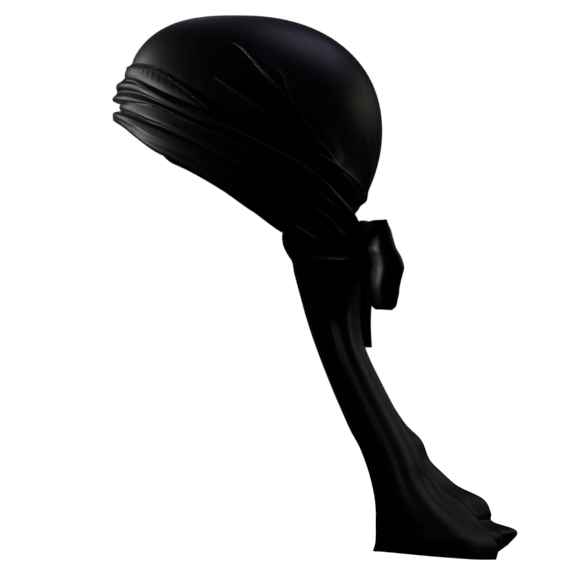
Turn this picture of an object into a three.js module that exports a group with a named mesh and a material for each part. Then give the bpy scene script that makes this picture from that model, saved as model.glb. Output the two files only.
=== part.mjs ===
// A silky durag as it sits tied on a head: a cap gathered at the nape, two straps wound round it that cross
// on the forehead and are tied in a bow behind, and a long tail that hangs from the nape.
// Millimetres, +Z up. The wearer faces -Y, and +X is the wearer's left.
// The origin is the inside of the cap's top, where the top of the head rests.
// Places on the head are given as a turn, in degrees from the forehead (0) past the left ear (90) to the
// nape (180), with the right side negative, and as a depth, in mm below the origin.
import * as THREE from "three";

// Cloth and clearances
const CLOTH = 1.4; // one layer of the cap or the tail, with its hems
const STRAP = 2.0; // a strap lying flat: two layers of its pleats
const GAP = 0.35; // air kept between neighbouring pieces
const FACET_SLACK = 0.25; // more air where flat facets of two pieces cut across the same curve
const STRAP_SEAT = CLOTH + GAP + FACET_SLACK; // how high over the hollow a strap or the band lies

// The hollow that the head fills: egg-shaped rings stacked down from the top
const HOLLOW = {
  widestDepth: 88.4, // depth of the widest ring
  halfLength: 98.8,
  halfWidth: 77,
  sideRoundness: 2.5, // exponent of the outline seen from the side
  frontRoundness: 2.3, // exponent of the outline seen from the front
  lean: 14.5, // how far the widest ring lies behind the top
  leanPower: 1.7,
  napeTaper: 0.005, // how fast the nape draws in below the widest ring, in 1/mm
  cheekTaper: 0.0026, // the same at the sides
  egg: 0.05, // how much narrower the forehead is than the back
};

// Depths of the main edges round the head, the same on both sides
const EDGES = [
  { turn: 0, stitch: 39.5, upper: 49, middle: 67, lower: 81, rim: 47.5 },
  { turn: 15, stitch: 39.7, upper: 49.3, middle: 67.4, lower: 84.5, rim: 47.8 },
  { turn: 30, stitch: 41, upper: 52, middle: 68.9, lower: 94.5, rim: 50 },
  { turn: 45, stitch: 46, upper: 61, middle: 72.8, lower: 107, rim: 57 },
  { turn: 60, stitch: 59, upper: 71.7, middle: 82.5, lower: 117, rim: 69.5 },
  { turn: 75, stitch: 79.5, upper: 83.5, middle: 94.6, lower: 131, rim: 90 },
  { turn: 90, stitch: 100, upper: 95.6, middle: 106.3, lower: 149, rim: 116 },
  { turn: 105, stitch: 120, upper: 108.2, middle: 120, lower: 163, rim: 141 },
  { turn: 120, stitch: 140, upper: 122.5, middle: 136, lower: 170.5, rim: 155 },
  { turn: 135, stitch: 150, upper: 136.8, middle: 147.5, lower: 175, rim: 161 },
  { turn: 150, stitch: 150, upper: 147, middle: 156, lower: 178, rim: 164 },
  { turn: 165, stitch: 150, upper: 153, middle: 161, lower: 178.5, rim: 165 },
  { turn: 180, stitch: 150, upper: 156, middle: 163, lower: 178.5, rim: 165 },
];

// The cap
const CROWN_COLUMNS = 60;
const CROWN_ROWS = 16;
const CROWN_SIDE_DEPTH = 60; // mm of depth below the widest ring that count as one more dome height
const CROWN_FOLDS = [
  { from: [90, 28], to: [133, 117], height: 1.4, width: 8, bow: 0 },
  { from: [112, 101], to: [168, 146], height: 3.2, width: 10, bow: 6 },
  { from: [-92, 40], to: [-136, 118], height: 1.4, width: 8, bow: 3 },
  { from: [-114, 104], to: [-168, 146], height: 3.0, width: 10, bow: 6 },
];
const GATHERS = { count: 15, height: 1.5, from: 96, full: 150, spread: 62 };

// The band sewn to the cap's front edge
const BAND = { columns: 30, rows: 2, halfTurn: 75, thickness: 1.3, roll: 1.0 };

// The straps swap places where they cross on the forehead: the over strap runs high on the left and low on
// the right, and the under strap the other way, with a lap that the over strap covers.
const STRAPS = { columns: 48, halfTurn: 176.5, lap: 8, crossFrom: -52, crossTo: -14 };

// The turns over which the lower strap is drawn off the neck, into a bundle that meets the knot
const BUNDLE = { from: 150, full: 175 };

// The pleats across a strap, from its upper edge (0) to its lower edge (1): how high each line across it
// stands above the flat strap at the forehead, at the ear and at the nape, and how much more beside the knot
const HIGH_PLEATS = [
  { place: 0, front: 0.2, ear: 0.2, nape: 0.4, knot: 0 },
  { place: 0.12, front: 1.6, ear: 0.8, nape: 1.4, knot: 0 },
  { place: 0.24, front: 2.6, ear: 1.0, nape: 1.8, knot: 0 },
  { place: 0.38, front: 2.6, ear: 0.9, nape: 1.4, knot: 0 },
  { place: 0.6, front: 1.6, ear: 0.4, nape: 0.4, knot: 0 },
  { place: 0.8, front: 4.6, ear: 1.3, nape: 1.6, knot: 0 },
  { place: 0.93, front: 4.0, ear: 1.0, nape: 1.2, knot: 0 },
  { place: 1, front: 1.0, ear: 0.4, nape: 0.3, knot: 0 },
];
const LOW_PLEATS = [
  { place: 0, front: 0, ear: 0, nape: 0, knot: 0 },
  { place: 0.16, front: 1.4, ear: 0.7, nape: 0.5, knot: 3 },
  { place: 0.31, front: 1.2, ear: 1.8, nape: 2.8, knot: 6 },
  { place: 0.4, front: 0.6, ear: 0.8, nape: 0.9, knot: 7 },
  { place: 0.49, front: 5.8, ear: 1.2, nape: 0.7, knot: 8 },
  { place: 0.8, front: 6.6, ear: 1.8, nape: 2.6, knot: 10 },
  { place: 0.93, front: 6.2, ear: 1.5, nape: 2.0, knot: 9 },
  { place: 1, front: 4.6, ear: 0.8, nape: 0.8, knot: 6 },
];

// The tail. It lies on the nape down to the straps' lower edge, and settles into its hanging form below
// that, sooner behind the knot than at its side edges.
const TAIL = { columns: 36, rows: 17, seatRows: 4, halfTurn: 70, settleBack: 13, settleSide: 24 };
const FLUTES = { count: 3.5, flatCrest: 1.12 }; // waves from the middle to a side edge
const TAIL_SIDE_RISE = 11; // how much higher the tail's corners end than its middle

// The tail's level sections: the y of its side edges and of its crest on each half, half its width, and how
// deep its flutes are
const TAIL_SECTIONS = [
  { depth: 160, edgeY: 40, leftY: 86, rightY: 86, halfWidth: 58, flute: 0 },
  { depth: 188, edgeY: 44.5, leftY: 94, rightY: 94, halfWidth: 55, flute: 1 },
  { depth: 212, edgeY: 50.5, leftY: 95.5, rightY: 95, halfWidth: 54, flute: 2 },
  { depth: 236, edgeY: 57.5, leftY: 97, rightY: 96, halfWidth: 55, flute: 3 },
  { depth: 257, edgeY: 64.5, leftY: 100.5, rightY: 100, halfWidth: 57, flute: 3 },
  { depth: 288, edgeY: 76.5, leftY: 115, rightY: 114, halfWidth: 62, flute: 2.6 },
  { depth: 318, edgeY: 89.5, leftY: 131, rightY: 133, halfWidth: 69, flute: 2.6 },
  { depth: 331, edgeY: 96.5, leftY: 138, rightY: 146, halfWidth: 72, flute: 2.6 },
  { depth: 347, edgeY: 102.5, leftY: 145, rightY: 153, halfWidth: 76, flute: 2.8 },
  { depth: 358, edgeY: 105.5, leftY: 149, rightY: 164, halfWidth: 78, flute: 3 },
  { depth: 368, edgeY: 107.5, leftY: 155, rightY: 176, halfWidth: 81, flute: 3 },
  { depth: 378, edgeY: 108.5, leftY: 165, rightY: 196, halfWidth: 83, flute: 3 },
  { depth: 389, edgeY: 108.5, leftY: 179, rightY: 202, halfWidth: 85, flute: 3 },
  { depth: 396, edgeY: 108.5, leftY: 189, rightY: 203, halfWidth: 86, flute: 3 },
  { depth: 403, edgeY: 108, leftY: 198, rightY: 222, halfWidth: 88, flute: 3 },
  { depth: 410, edgeY: 106, leftY: 202, rightY: 219, halfWidth: 89, flute: 3 },
  { depth: 420, edgeY: 104.5, leftY: 200, rightY: 206, halfWidth: 90, flute: 3 },
];

// The knot, the bow's loops and the strap ends
const KNOT = { y: 101.4, depth: 170, halfLength: 13, halfDeep: 7.9, halfHigh: 11, pleat: 0.8, tilt: 30 };
const LOOP = { columns: 18, rows: 5, wall: 2, pinch: 7.5, pleat: 1.6, lean: 3.5 };
const LOOPS = [
  { name: "left", side: 1, reach: 58, deep: 15, halfHigh: 34, droop: 23, sweep: 20 },
  { name: "right", side: -1, reach: 54, deep: 13, halfHigh: 31, droop: 19, sweep: 15 },
];
const END = { columns: 5, rows: 9, wall: 1.6 };
const ENDS = [
  { name: "left", side: 1, length: 1, out: 0, lift: 0 },
  { name: "right", side: -1, length: 0.86, out: 2, lift: 0.9 },
];
const END_SECTIONS = [
  { down: 0, x: 6, y: 100, width: 11, turn: 10, curl: 2.5 },
  { down: 10, x: 9, y: 103, width: 18, turn: 30, curl: 4 },
  { down: 24, x: 12, y: 104, width: 21, turn: 50, curl: 4.5 },
  { down: 40, x: 12, y: 101, width: 14, turn: 35, curl: 3.5 },
  { down: 58, x: 13, y: 99.5, width: 12, turn: 30, curl: 2.5 },
  { down: 76, x: 14, y: 101.5, width: 13, turn: 25, curl: 2 },
];

const toRadians = THREE.MathUtils.degToRad;
const smooth = THREE.MathUtils.smoothstep;
const mix = THREE.MathUtils.lerp;

// Reads one named column of a table at a value of its first column, along a smooth curve through the rows.
function read(table, along, name, at) {
  const last = table.length - 1;
  const value = THREE.MathUtils.clamp(at, table[0][along], table[last][along]);
  let low = 0;
  while (low < last - 1 && table[low + 1][along] < value) low += 1;
  const slope = (row) => {
    const before = table[Math.max(0, row - 1)];
    const after = table[Math.min(last, row + 1)];
    return (after[name] - before[name]) / (after[along] - before[along]);
  };
  const span = table[low + 1][along] - table[low][along];
  const t = (value - table[low][along]) / span;
  const rise = table[low + 1][name] - table[low][name];
  const bend = (1 - t) * (slope(low) * span - rise) - t * (slope(low + 1) * span - rise);
  return table[low][name] + rise * t + t * (1 - t) * bend;
}

const edge = (name, turn) => read(EDGES, "turn", name, Math.abs(turn));

// One level ring of the hollow: its middle, its reach forward and back, and its half width.
function ring(depth) {
  const rise = Math.max(0, 1 - depth / HOLLOW.widestDepth);
  const drop = Math.max(0, depth - HOLLOW.widestDepth);
  const size = (power) => (1 - rise ** power) ** (1 / power);
  const reach = HOLLOW.halfLength * size(HOLLOW.sideRoundness);
  return {
    middle: HOLLOW.lean * (1 - rise ** HOLLOW.leanPower),
    front: reach,
    back: reach - HOLLOW.napeTaper * drop ** 2,
    side: HOLLOW.halfWidth * size(HOLLOW.frontRoundness) - HOLLOW.cheekTaper * drop ** 2,
  };
}

function hollowPoint(turn, depth) {
  const level = ring(depth);
  const forward = Math.cos(toRadians(turn));
  const sideways = Math.sin(toRadians(turn)) * (1 - HOLLOW.egg * forward);
  const reach = forward > 0 ? level.front : level.back;
  return new THREE.Vector3(level.side * sideways, level.middle - reach * forward, -depth);
}

// A point that stands off the hollow by a height, square to its surface.
function over(turn, depth, height) {
  const at = Math.max(depth, 0.4);
  const across = hollowPoint(turn + 0.5, at).sub(hollowPoint(turn - 0.5, at));
  const down = hollowPoint(turn, at + 0.3).sub(hollowPoint(turn, at - 0.3));
  const outward = depth > 0 ? down.cross(across).normalize() : new THREE.Vector3(0, 0, 1);
  return hollowPoint(turn, depth).addScaledVector(outward, height);
}

// A closed solid between two grids of points. round joins the last column to the first, and pole draws the
// first row to one point.
function solidBetween(outer, inner, columns, rows, { round = false, pole = false } = {}) {
  const positions = [];
  const across = round ? columns : columns + 1;
  const sheet = (point) => {
    const start = positions.length / 3;
    const first = pole ? 1 : 0;
    if (pole) positions.push(...point(0, 0).toArray());
    for (let j = first; j <= rows; j += 1) {
      for (let i = 0; i < across; i += 1) positions.push(...point(i, j).toArray());
    }
    return (i, j) => {
      if (pole && j === 0) return start;
      return start + first + (j - first) * across + (i % across);
    };
  };
  const out = sheet(outer);
  const into = sheet(inner);
  const faces = [];
  const quad = (a, b, c, d) => {
    if (a !== d) faces.push(a, c, d);
    faces.push(a, b, c);
  };
  for (let i = 0; i < columns; i += 1) {
    for (let j = 0; j < rows; j += 1) {
      quad(out(i, j), out(i, j + 1), out(i + 1, j + 1), out(i + 1, j));
      quad(into(i, j), into(i + 1, j), into(i + 1, j + 1), into(i, j + 1));
    }
    quad(out(i, rows), into(i, rows), into(i + 1, rows), out(i + 1, rows));
    if (!pole) quad(into(i, 0), out(i, 0), out(i + 1, 0), into(i + 1, 0));
  }
  for (let j = 0; j < rows && !round; j += 1) {
    quad(into(0, j), into(0, j + 1), out(0, j + 1), out(0, j));
    quad(out(columns, j), out(columns, j + 1), into(columns, j + 1), into(columns, j));
  }
  return new THREE.BufferGeometry()
    .setAttribute("position", new THREE.Float32BufferAttribute(positions, 3))
    .setIndex(faces);
}

// A sheet of cloth as a closed solid: a middle surface with half its thickness on each side.
// point takes the place across and down the sheet, each from 0 to 1.
function sheetSolid(point, columns, rows, thickness) {
  const step = 1e-3;
  const side = (sign) => (i, j) => {
    const s = i / columns;
    const t = j / rows;
    const across = point(s + step, t).sub(point(s - step, t));
    const down = point(s, t + step).sub(point(s, t - step));
    return point(s, t).addScaledVector(down.cross(across).normalize(), (sign * thickness) / 2);
  };
  return solidBetween(side(1), side(-1), columns, rows);
}

// How far round the head two turns of a fold lie apart, in mm.
const MM_PER_DEGREE = (Math.PI * (HOLLOW.halfLength + HOLLOW.halfWidth)) / 360;

// A ridge along a bowed line on the head, highest in its middle and fading at its upper end.
function foldHeight(fold, turn, depth) {
  const alongX = (fold.to[0] - fold.from[0]) * MM_PER_DEGREE;
  const alongY = fold.to[1] - fold.from[1];
  const length = Math.hypot(alongX, alongY);
  const x = (turn - fold.from[0]) * MM_PER_DEGREE;
  const y = depth - fold.from[1];
  const t = (x * alongX + y * alongY) / length ** 2;
  const aside = (x * alongY - y * alongX) / length + Math.sign(alongX) * fold.bow * 4 * t * (1 - t);
  const fade = smooth(t, -0.05, 0.3) * (1 - smooth(t, 0.98, 1.06));
  return fold.height * fade * Math.exp(-((aside / fold.width) ** 2));
}

// The gathers that the knot draws into the cap above the nape.
function gatherHeight(turn, depth) {
  const fromNape = 180 - Math.abs(turn);
  const reach = Math.exp(-((fromNape / GATHERS.spread) ** 2)) * smooth(depth, GATHERS.from, GATHERS.full);
  const wave = 0.5 + 0.5 * Math.cos(toRadians(turn * GATHERS.count));
  return GATHERS.height * reach * wave;
}

// The cap lies smooth where the band and the straps cover it.
function crownRelief(turn, depth) {
  const banded = Math.abs(turn) < BAND.halfTurn;
  const cover = banded ? Math.min(edge("upper", turn), edge("stitch", turn)) : edge("upper", turn);
  const bare = 1 - smooth(depth, cover - 15, cover - 5);
  const folds = CROWN_FOLDS.reduce((sum, fold) => sum + foldHeight(fold, turn, depth), 0);
  return bare * (folds + gatherHeight(turn, depth));
}

// The cap: a dome of one layer from the top down to its rim.
function crown() {
  const place = (i, j) => {
    const turn = (i * 360) / CROWN_COLUMNS - 180;
    const rim = edge("rim", turn);
    const dome = HOLLOW.widestDepth;
    const angleAt = (depth) => Math.acos((1 - depth / dome) ** (HOLLOW.sideRoundness / 2)) / (Math.PI / 2);
    const reach = rim < dome ? angleAt(rim) : 1 + (rim - dome) / CROWN_SIDE_DEPTH;
    const along = (reach * j) / CROWN_ROWS;
    const onDome = dome * (1 - Math.cos((Math.min(along, 1) * Math.PI) / 2) ** (2 / HOLLOW.sideRoundness));
    return [turn, onDome + Math.max(0, along - 1) * CROWN_SIDE_DEPTH];
  };
  const layer = (height) => (i, j) => {
    const [turn, depth] = place(i, j);
    return over(turn, depth, height + crownRelief(turn, depth));
  };
  return solidBetween(layer(CLOTH), layer(0), CROWN_COLUMNS, CROWN_ROWS, { round: true, pole: true });
}

// The band along the cap's front edge, rolled over at its top where it is seamed on.
function frontBand() {
  const layer = (outer) => (i, j) => {
    const turn = mix(-BAND.halfTurn, BAND.halfTurn, i / BAND.columns);
    const t = j / BAND.rows;
    const depth = mix(edge("stitch", turn), strapsTop(turn) - GAP, t);
    const roll = BAND.roll * Math.sin(Math.PI * t);
    return over(turn, depth, STRAP_SEAT + (outer ? BAND.thickness + roll : 0));
  };
  return solidBetween(layer(true), layer(false), BAND.columns, BAND.rows);
}

// 1 on the left of the forehead crossing and 0 on the right of it.
const leftShare = (turn) => smooth(turn, STRAPS.crossFrom, STRAPS.crossTo);

// The upper and lower edges of each strap, without the under strap's lap.
const highEdges = (turn) => [edge("upper", turn), edge("middle", turn)];
const lowEdges = (turn) => [edge("middle", turn), edge("lower", turn)];

// A pleat's height at a turn, from the columns for the forehead, the ear, the nape and the knot.
function pleatHeight(pleat, turn) {
  const past = Math.abs(turn) / 90;
  if (past < 1) return mix(pleat.front, pleat.ear, past ** 0.7);
  return mix(pleat.ear, pleat.nape, past - 1) + pleat.knot * smooth(Math.abs(turn), BUNDLE.from, BUNDLE.full);
}

// One line across a strap at a turn: its depth and its height above the flat strap.
function pleatLine(pleats, edges, turn, line) {
  const [top, bottom] = edges(turn);
  return { depth: mix(top, bottom, pleats[line].place), height: pleatHeight(pleats[line], turn) };
}

const blendLines = (right, left, share) => ({
  depth: mix(right.depth, left.depth, share),
  height: mix(right.height, left.height, share),
});

// The upper edge of whichever strap runs higher at a turn.
function strapsTop(turn) {
  return Math.min(overLine(turn, 0).depth, underLine(turn, 0).depth);
}

function overLine(turn, line) {
  const left = pleatLine(HIGH_PLEATS, highEdges, turn, line);
  const right = pleatLine(LOW_PLEATS, lowEdges, turn, line);
  return blendLines(right, left, leftShare(turn));
}

// The under strap has one line more, the far edge of its lap, which comes first on the left and last on the
// right. It lies flat at the crossing.
function underLine(turn, line) {
  const lapEdge = (way) => ({ depth: edge("middle", turn) + way * STRAPS.lap * lapShare(turn), height: 0 });
  const left = line > 0 ? pleatLine(LOW_PLEATS, lowEdges, turn, line - 1) : lapEdge(-1);
  const right = line < HIGH_PLEATS.length ? pleatLine(HIGH_PLEATS, highEdges, turn, line) : lapEdge(1);
  if (line === HIGH_PLEATS.length - 1) right.height = 0;
  const blended = blendLines(right, left, leftShare(turn));
  blended.height *= clearOfCrossing(turn, blended.depth);
  return blended;
}

// 0 where the over strap covers this place or one up to two columns away near the crossing, and 1 elsewhere.
function clearOfCrossing(turn, depth) {
  const around = [-2, -1, 0, 1, 2].map((step) => turn + (step * 2 * STRAPS.halfTurn) / STRAPS.columns);
  const shares = around.map(leftShare);
  if (Math.min(...shares) > 0.999 || Math.max(...shares) < 0.001) return 1;
  const top = Math.min(...around.map((at) => overLine(at, 0).depth));
  const bottom = Math.max(...around.map((at) => overLine(at, HIGH_PLEATS.length - 1).depth));
  return smooth(Math.max(top - depth, depth - bottom), 0.5, 3);
}

// The lap narrows where the straps are drawn together at the nape.
const lapShare = (turn) => 1 - 0.5 * smooth(Math.abs(turn), 120, 170);

// How much of the under strap lies below this place, with soft edges wider than the gaps between its lines.
function underCover(turn, depth) {
  const top = underLine(turn, 0).depth;
  const bottom = underLine(turn, HIGH_PLEATS.length).depth;
  return smooth(depth, top - 9, top - 4.5) * (1 - smooth(depth, bottom + 6, bottom + 11));
}

function strap(lineAt, lines, seatAt) {
  const layer = (outer) => (i, j) => {
    const turn = mix(-STRAPS.halfTurn, STRAPS.halfTurn, i / STRAPS.columns);
    const { depth, height } = lineAt(turn, j);
    const seat = seatAt(turn, depth);
    return over(turn, depth, outer ? seat + STRAP + height : seat);
  };
  return solidBetween(layer(true), layer(false), STRAPS.columns, lines - 1);
}

const underStrap = () => strap(underLine, HIGH_PLEATS.length + 1, () => STRAP_SEAT);

const overStrap = () =>
  strap(overLine, HIGH_PLEATS.length, (turn, depth) => STRAP_SEAT + underCover(turn, depth) * (STRAP + GAP));

// A level section of the hanging tail, at a place across it from its left edge (1) to its right edge (-1).
function hangingPoint(across, depth) {
  const section = (name) => read(TAIL_SECTIONS, "depth", name, depth);
  const sideways = Math.sin((across * Math.PI) / 2);
  const backward = Math.sqrt(Math.max(0, 1 - sideways ** 2));
  const crest = mix(section("rightY"), section("leftY"), smooth(across, -0.35, 0.2));
  const wave = section("flute") * (Math.cos(Math.PI * 2 * FLUTES.count * across) - 1);
  const x = (section("halfWidth") + wave) * sideways;
  const y = mix(section("edgeY"), crest, Math.min(1, FLUTES.flatCrest * backward ** 0.8)) + wave * backward;
  return new THREE.Vector3(x, y, -depth);
}

// The tail: it starts on the nape below the cap's rim, leaves the neck under the straps and hangs in flutes.
function tail() {
  const lowest = TAIL_SECTIONS[TAIL_SECTIONS.length - 1].depth;
  const seatShare = TAIL.seatRows / TAIL.rows;
  const point = (s, v) => {
    const across = 1 - 2 * s;
    const turn = 180 - across * TAIL.halfTurn;
    const fromFront = Math.min(turn, 360 - turn);
    const strapEdge = edge("lower", fromFront);
    const settled = strapEdge + mix(TAIL.settleBack, TAIL.settleSide, across ** 2);
    const bottom = lowest - TAIL_SIDE_RISE * across ** 2;
    const onNape = mix(edge("rim", fromFront) + 2 * GAP, settled, v / seatShare);
    const below = mix(settled, bottom, Math.max(0, (v - seatShare) / (1 - seatShare)) ** 0.8);
    const depth = v < seatShare ? onNape : below;
    const seat = over(turn, Math.min(depth, settled), CLOTH / 2 + 0.1).setZ(-depth);
    return seat.lerp(hangingPoint(across, depth), smooth(depth, strapEdge + 4, settled));
  };
  return sheetSolid(point, TAIL.columns, TAIL.rows, CLOTH);
}

// How far the knot's tilted oval reaches below its middle.
const knotReach = Math.hypot(
  KNOT.halfDeep * Math.sin(toRadians(KNOT.tilt)),
  KNOT.halfHigh * Math.cos(toRadians(KNOT.tilt)),
);

// The knot: a short barrel across the nape, ringed by the pleats of the strap that binds it. Its oval leans
// with the nape.
function knot() {
  const geometry = new THREE.SphereGeometry(1, 16, 12).rotateZ(Math.PI / 2);
  const position = geometry.getAttribute("position");
  for (let i = 0; i < position.count; i += 1) {
    const along = position.getX(i);
    const full = (1 - along ** 4) ** 0.5 / Math.max(0.02, Math.sqrt(1 - along ** 2));
    const round = Math.abs(along) > 0.999 ? 0 : full;
    const pleat = 1 + (KNOT.pleat / KNOT.halfDeep) * Math.cos(along * Math.PI * 3);
    const y = position.getY(i) * round * pleat * KNOT.halfDeep;
    const z = position.getZ(i) * round * pleat * KNOT.halfHigh;
    position.setXYZ(i, along * KNOT.halfLength, y, z);
  }
  geometry.deleteAttribute("normal").deleteAttribute("uv");
  return geometry.rotateX(-toRadians(KNOT.tilt)).translate(0, KNOT.y, -KNOT.depth);
}

// A bow loop: a strap that leaves the knot sideways, widens, turns back at its end and returns to the knot.
function bowLoop({ side, reach, deep, halfHigh, droop, sweep }) {
  const point = (s, v) => {
    const turn = mix(0.07, 0.93, s) * Math.PI * 2;
    const out = (1 - Math.cos(turn)) / 2;
    const open = Math.sin(turn / 2);
    const height = 1 - 2 * v;
    const lens = Math.sqrt(1 - 0.93 * height ** 2);
    const pleats = LOOP.pleat * Math.cos(height * Math.PI * 2.5) * (1 - 0.5 * open);
    const x = KNOT.halfLength + GAP + reach * (out - 0.045) * (1 - 0.16 * height ** 2);
    const swept = sweep * open ** 4 * (1 - 0.3 * height ** 2);
    const leaning = swept - LOOP.lean * height * open ** 3;
    const y = KNOT.y + leaning + deep * Math.sin(turn) * open * lens + pleats;
    const z = height * mix(LOOP.pinch, halfHigh, open ** 3) - KNOT.depth - droop * open ** 3;
    return new THREE.Vector3(side * x, y, z);
  };
  return sheetSolid(point, LOOP.columns, LOOP.rows, LOOP.wall);
}

// A loose end of a strap: a curled strip that hangs below the knot and twists.
function strapEnd({ side, length, out, lift }) {
  const top = KNOT.depth + knotReach + KNOT.pleat + GAP - lift;
  const span = END_SECTIONS[END_SECTIONS.length - 1].down;
  const point = (s, v) => {
    const down = mix(0, span, v);
    const section = (name) => read(END_SECTIONS, "down", name, down);
    const across = 2 * s - 1;
    const turn = toRadians(section("turn"));
    const wide = (across * section("width")) / 2;
    const curl = section("curl") * (0.5 - across ** 2);
    const x = section("x") + out + wide * Math.cos(turn) + curl * Math.sin(turn);
    const y = section("y") + wide * Math.sin(turn) - curl * Math.cos(turn);
    return new THREE.Vector3(side * x, y, -top - down * length);
  };
  return sheetSolid(point, END.columns, END.rows, END.wall);
}

// Turns a solid's faces outwards where its grid ran the other way.
function facingOut(geometry) {
  const index = geometry.getIndex().array;
  const position = geometry.getAttribute("position");
  const corner = (k) => new THREE.Vector3().fromBufferAttribute(position, index[k]);
  let volume = 0;
  for (let k = 0; k < index.length; k += 3) volume += corner(k).dot(corner(k + 1).cross(corner(k + 2)));
  if (volume < 0) {
    for (let k = 0; k < index.length; k += 3) [index[k + 1], index[k + 2]] = [index[k + 2], index[k + 1]];
  }
  return geometry;
}

const satin = new THREE.MeshStandardMaterial({ color: "#101014", roughness: 0.55, metalness: 0 });
const strapSatin = new THREE.MeshStandardMaterial({ color: "#14141a", roughness: 0.5, metalness: 0 });

const durag = new THREE.Group();
const addPiece = (name, geometry, material) => {
  const mesh = new THREE.Mesh(facingOut(geometry), material);
  mesh.name = name;
  durag.add(mesh);
};

addPiece("crown", crown(), satin);
addPiece("front_band", frontBand(), satin);
addPiece("strap_wrap_under", underStrap(), strapSatin);
addPiece("strap_wrap_over", overStrap(), strapSatin);
addPiece("tail", tail(), satin);
addPiece("knot", knot(), strapSatin);
for (const loop of LOOPS) addPiece("bow_loop_" + loop.name, bowLoop(loop), strapSatin);
for (const end of ENDS) addPiece("strap_end_" + end.name, strapEnd(end), strapSatin);

export default durag;
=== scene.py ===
"""A black silky durag, tied on and seen from its left side, in a plain white studio.

Lengths are in millimetres until a mesh is made. +Z is up, the wearer faces -Y and +X is the wearer's left.
Places on the cap are a turn, in degrees from the forehead (0) past the left ear (90) to the nape (180) with
the right side negative, and a depth, in mm below the inside of the cap's top.
"""

import logging
import math
from dataclasses import dataclass, field
from enum import Enum
from typing import Callable, Sequence

import bpy
import numpy as np
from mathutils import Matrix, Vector


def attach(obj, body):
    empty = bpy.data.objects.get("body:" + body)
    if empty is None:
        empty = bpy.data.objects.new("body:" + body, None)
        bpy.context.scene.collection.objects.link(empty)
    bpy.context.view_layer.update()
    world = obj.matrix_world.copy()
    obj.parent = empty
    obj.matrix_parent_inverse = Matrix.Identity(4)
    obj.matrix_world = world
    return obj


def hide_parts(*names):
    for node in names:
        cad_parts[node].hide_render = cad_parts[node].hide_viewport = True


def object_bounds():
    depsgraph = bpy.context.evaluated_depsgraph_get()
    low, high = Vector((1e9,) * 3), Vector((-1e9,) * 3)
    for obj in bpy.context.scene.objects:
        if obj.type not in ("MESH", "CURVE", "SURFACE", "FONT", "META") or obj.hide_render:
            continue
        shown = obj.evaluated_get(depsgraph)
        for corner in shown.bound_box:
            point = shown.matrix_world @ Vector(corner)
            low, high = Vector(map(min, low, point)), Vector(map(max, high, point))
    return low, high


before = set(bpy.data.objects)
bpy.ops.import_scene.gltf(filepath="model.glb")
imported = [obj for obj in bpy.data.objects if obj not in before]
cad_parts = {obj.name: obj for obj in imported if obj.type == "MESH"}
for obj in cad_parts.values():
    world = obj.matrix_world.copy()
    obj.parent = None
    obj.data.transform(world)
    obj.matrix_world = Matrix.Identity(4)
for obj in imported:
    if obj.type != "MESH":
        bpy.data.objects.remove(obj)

Array = np.ndarray
Surface = Callable[[Array, Array], Array]
Line = Callable[[Array, Array], tuple[Array, Array]]

log = logging.getLogger("durag")

CAD_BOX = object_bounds()
MM = 0.001
BODY = "root"

CLOTH = 1.4  # one layer of the cap or the tail, with its hems
STRAP = 2.0  # a strap lying flat: two layers of its pleats
GAP = 0.35  # air between neighbouring pieces
FACET_SLACK = 0.25
STRAP_SEAT = CLOTH + GAP + FACET_SLACK
EDGE_ANGLE = 50.0  # degrees: a cloth's cut edges meet its sides at more than this, and its folds at less


def smooth(value: Array, low: float, high: float) -> Array:
    """Rises from 0 at low to 1 at high with level ends: 3t^2 - 2t^3."""
    t = np.clip((value - low) / (high - low), 0.0, 1.0)
    return t * t * (3.0 - 2.0 * t)


def mix(low: Array, high: Array, share: Array) -> Array:
    """Goes from low to high in a straight line as share goes from 0 to 1."""
    return low + (high - low) * share


def bell(distance: Array, width: float, power: float = 2.0) -> Array:
    """A hump of height 1: e to the minus (distance / width) to a power."""
    return np.exp(-((np.abs(distance) / width) ** power))


def unit(vectors: Array) -> Array:
    """Vectors divided by their own lengths."""
    return vectors / np.maximum(np.linalg.norm(vectors, axis=-1, keepdims=True), 1e-9)


class Table:
    """A short table whose columns are read along a smooth curve through its rows."""

    def __init__(self, names: str, rows: Sequence[Sequence[float]]) -> None:
        """Names the columns, of which the first is the one to read along.

        Args:
            names: the columns' names, with spaces between them.
            rows: one row of numbers for each section.
        """
        words = names.split()
        self.columns = dict(zip(words, np.array(rows, float).T))
        self.along = self.columns[words[0]]

    def read(self, name: str, at: Array) -> Array:
        """Reads a column along a cubic whose slope at each row is that between the row's neighbours.

        Args:
            name: the column to read.
            at: values of the first column, held inside the table.

        Returns:
            The column's values there.
        """
        x, y = self.along, self.columns[name]
        last = len(x) - 1
        before = np.maximum(np.arange(last + 1) - 1, 0)
        after = np.minimum(np.arange(last + 1) + 1, last)
        slope = (y[after] - y[before]) / (x[after] - x[before])
        value = np.clip(at, x[0], x[-1])
        low = np.clip(np.searchsorted(x, value, side="left") - 1, 0, last - 1)
        span = x[low + 1] - x[low]
        rise = y[low + 1] - y[low]
        t = (value - x[low]) / span
        bend = (1 - t) * (slope[low] * span - rise) - t * (slope[low + 1] * span - rise)
        return y[low] + rise * t + t * (1 - t) * bend


# Depths of the main edges round the head, the same on both sides
EDGES = Table(
    "turn stitch upper middle lower rim",
    (
        (0, 39.5, 49, 67, 81, 47.5),
        (15, 39.7, 49.3, 67.4, 84.5, 47.8),
        (30, 41, 52, 68.9, 94.5, 50),
        (45, 46, 61, 72.8, 107, 57),
        (60, 59, 71.7, 82.5, 117, 69.5),
        (75, 79.5, 83.5, 94.6, 131, 90),
        (90, 100, 95.6, 106.3, 149, 116),
        (105, 120, 108.2, 120, 163, 141),
        (120, 140, 122.5, 136, 170.5, 155),
        (135, 150, 136.8, 147.5, 175, 161),
        (150, 150, 147, 156, 178, 164),
        (165, 150, 153, 161, 178.5, 165),
        (180, 150, 156, 163, 178.5, 165),
    ),
)


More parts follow.
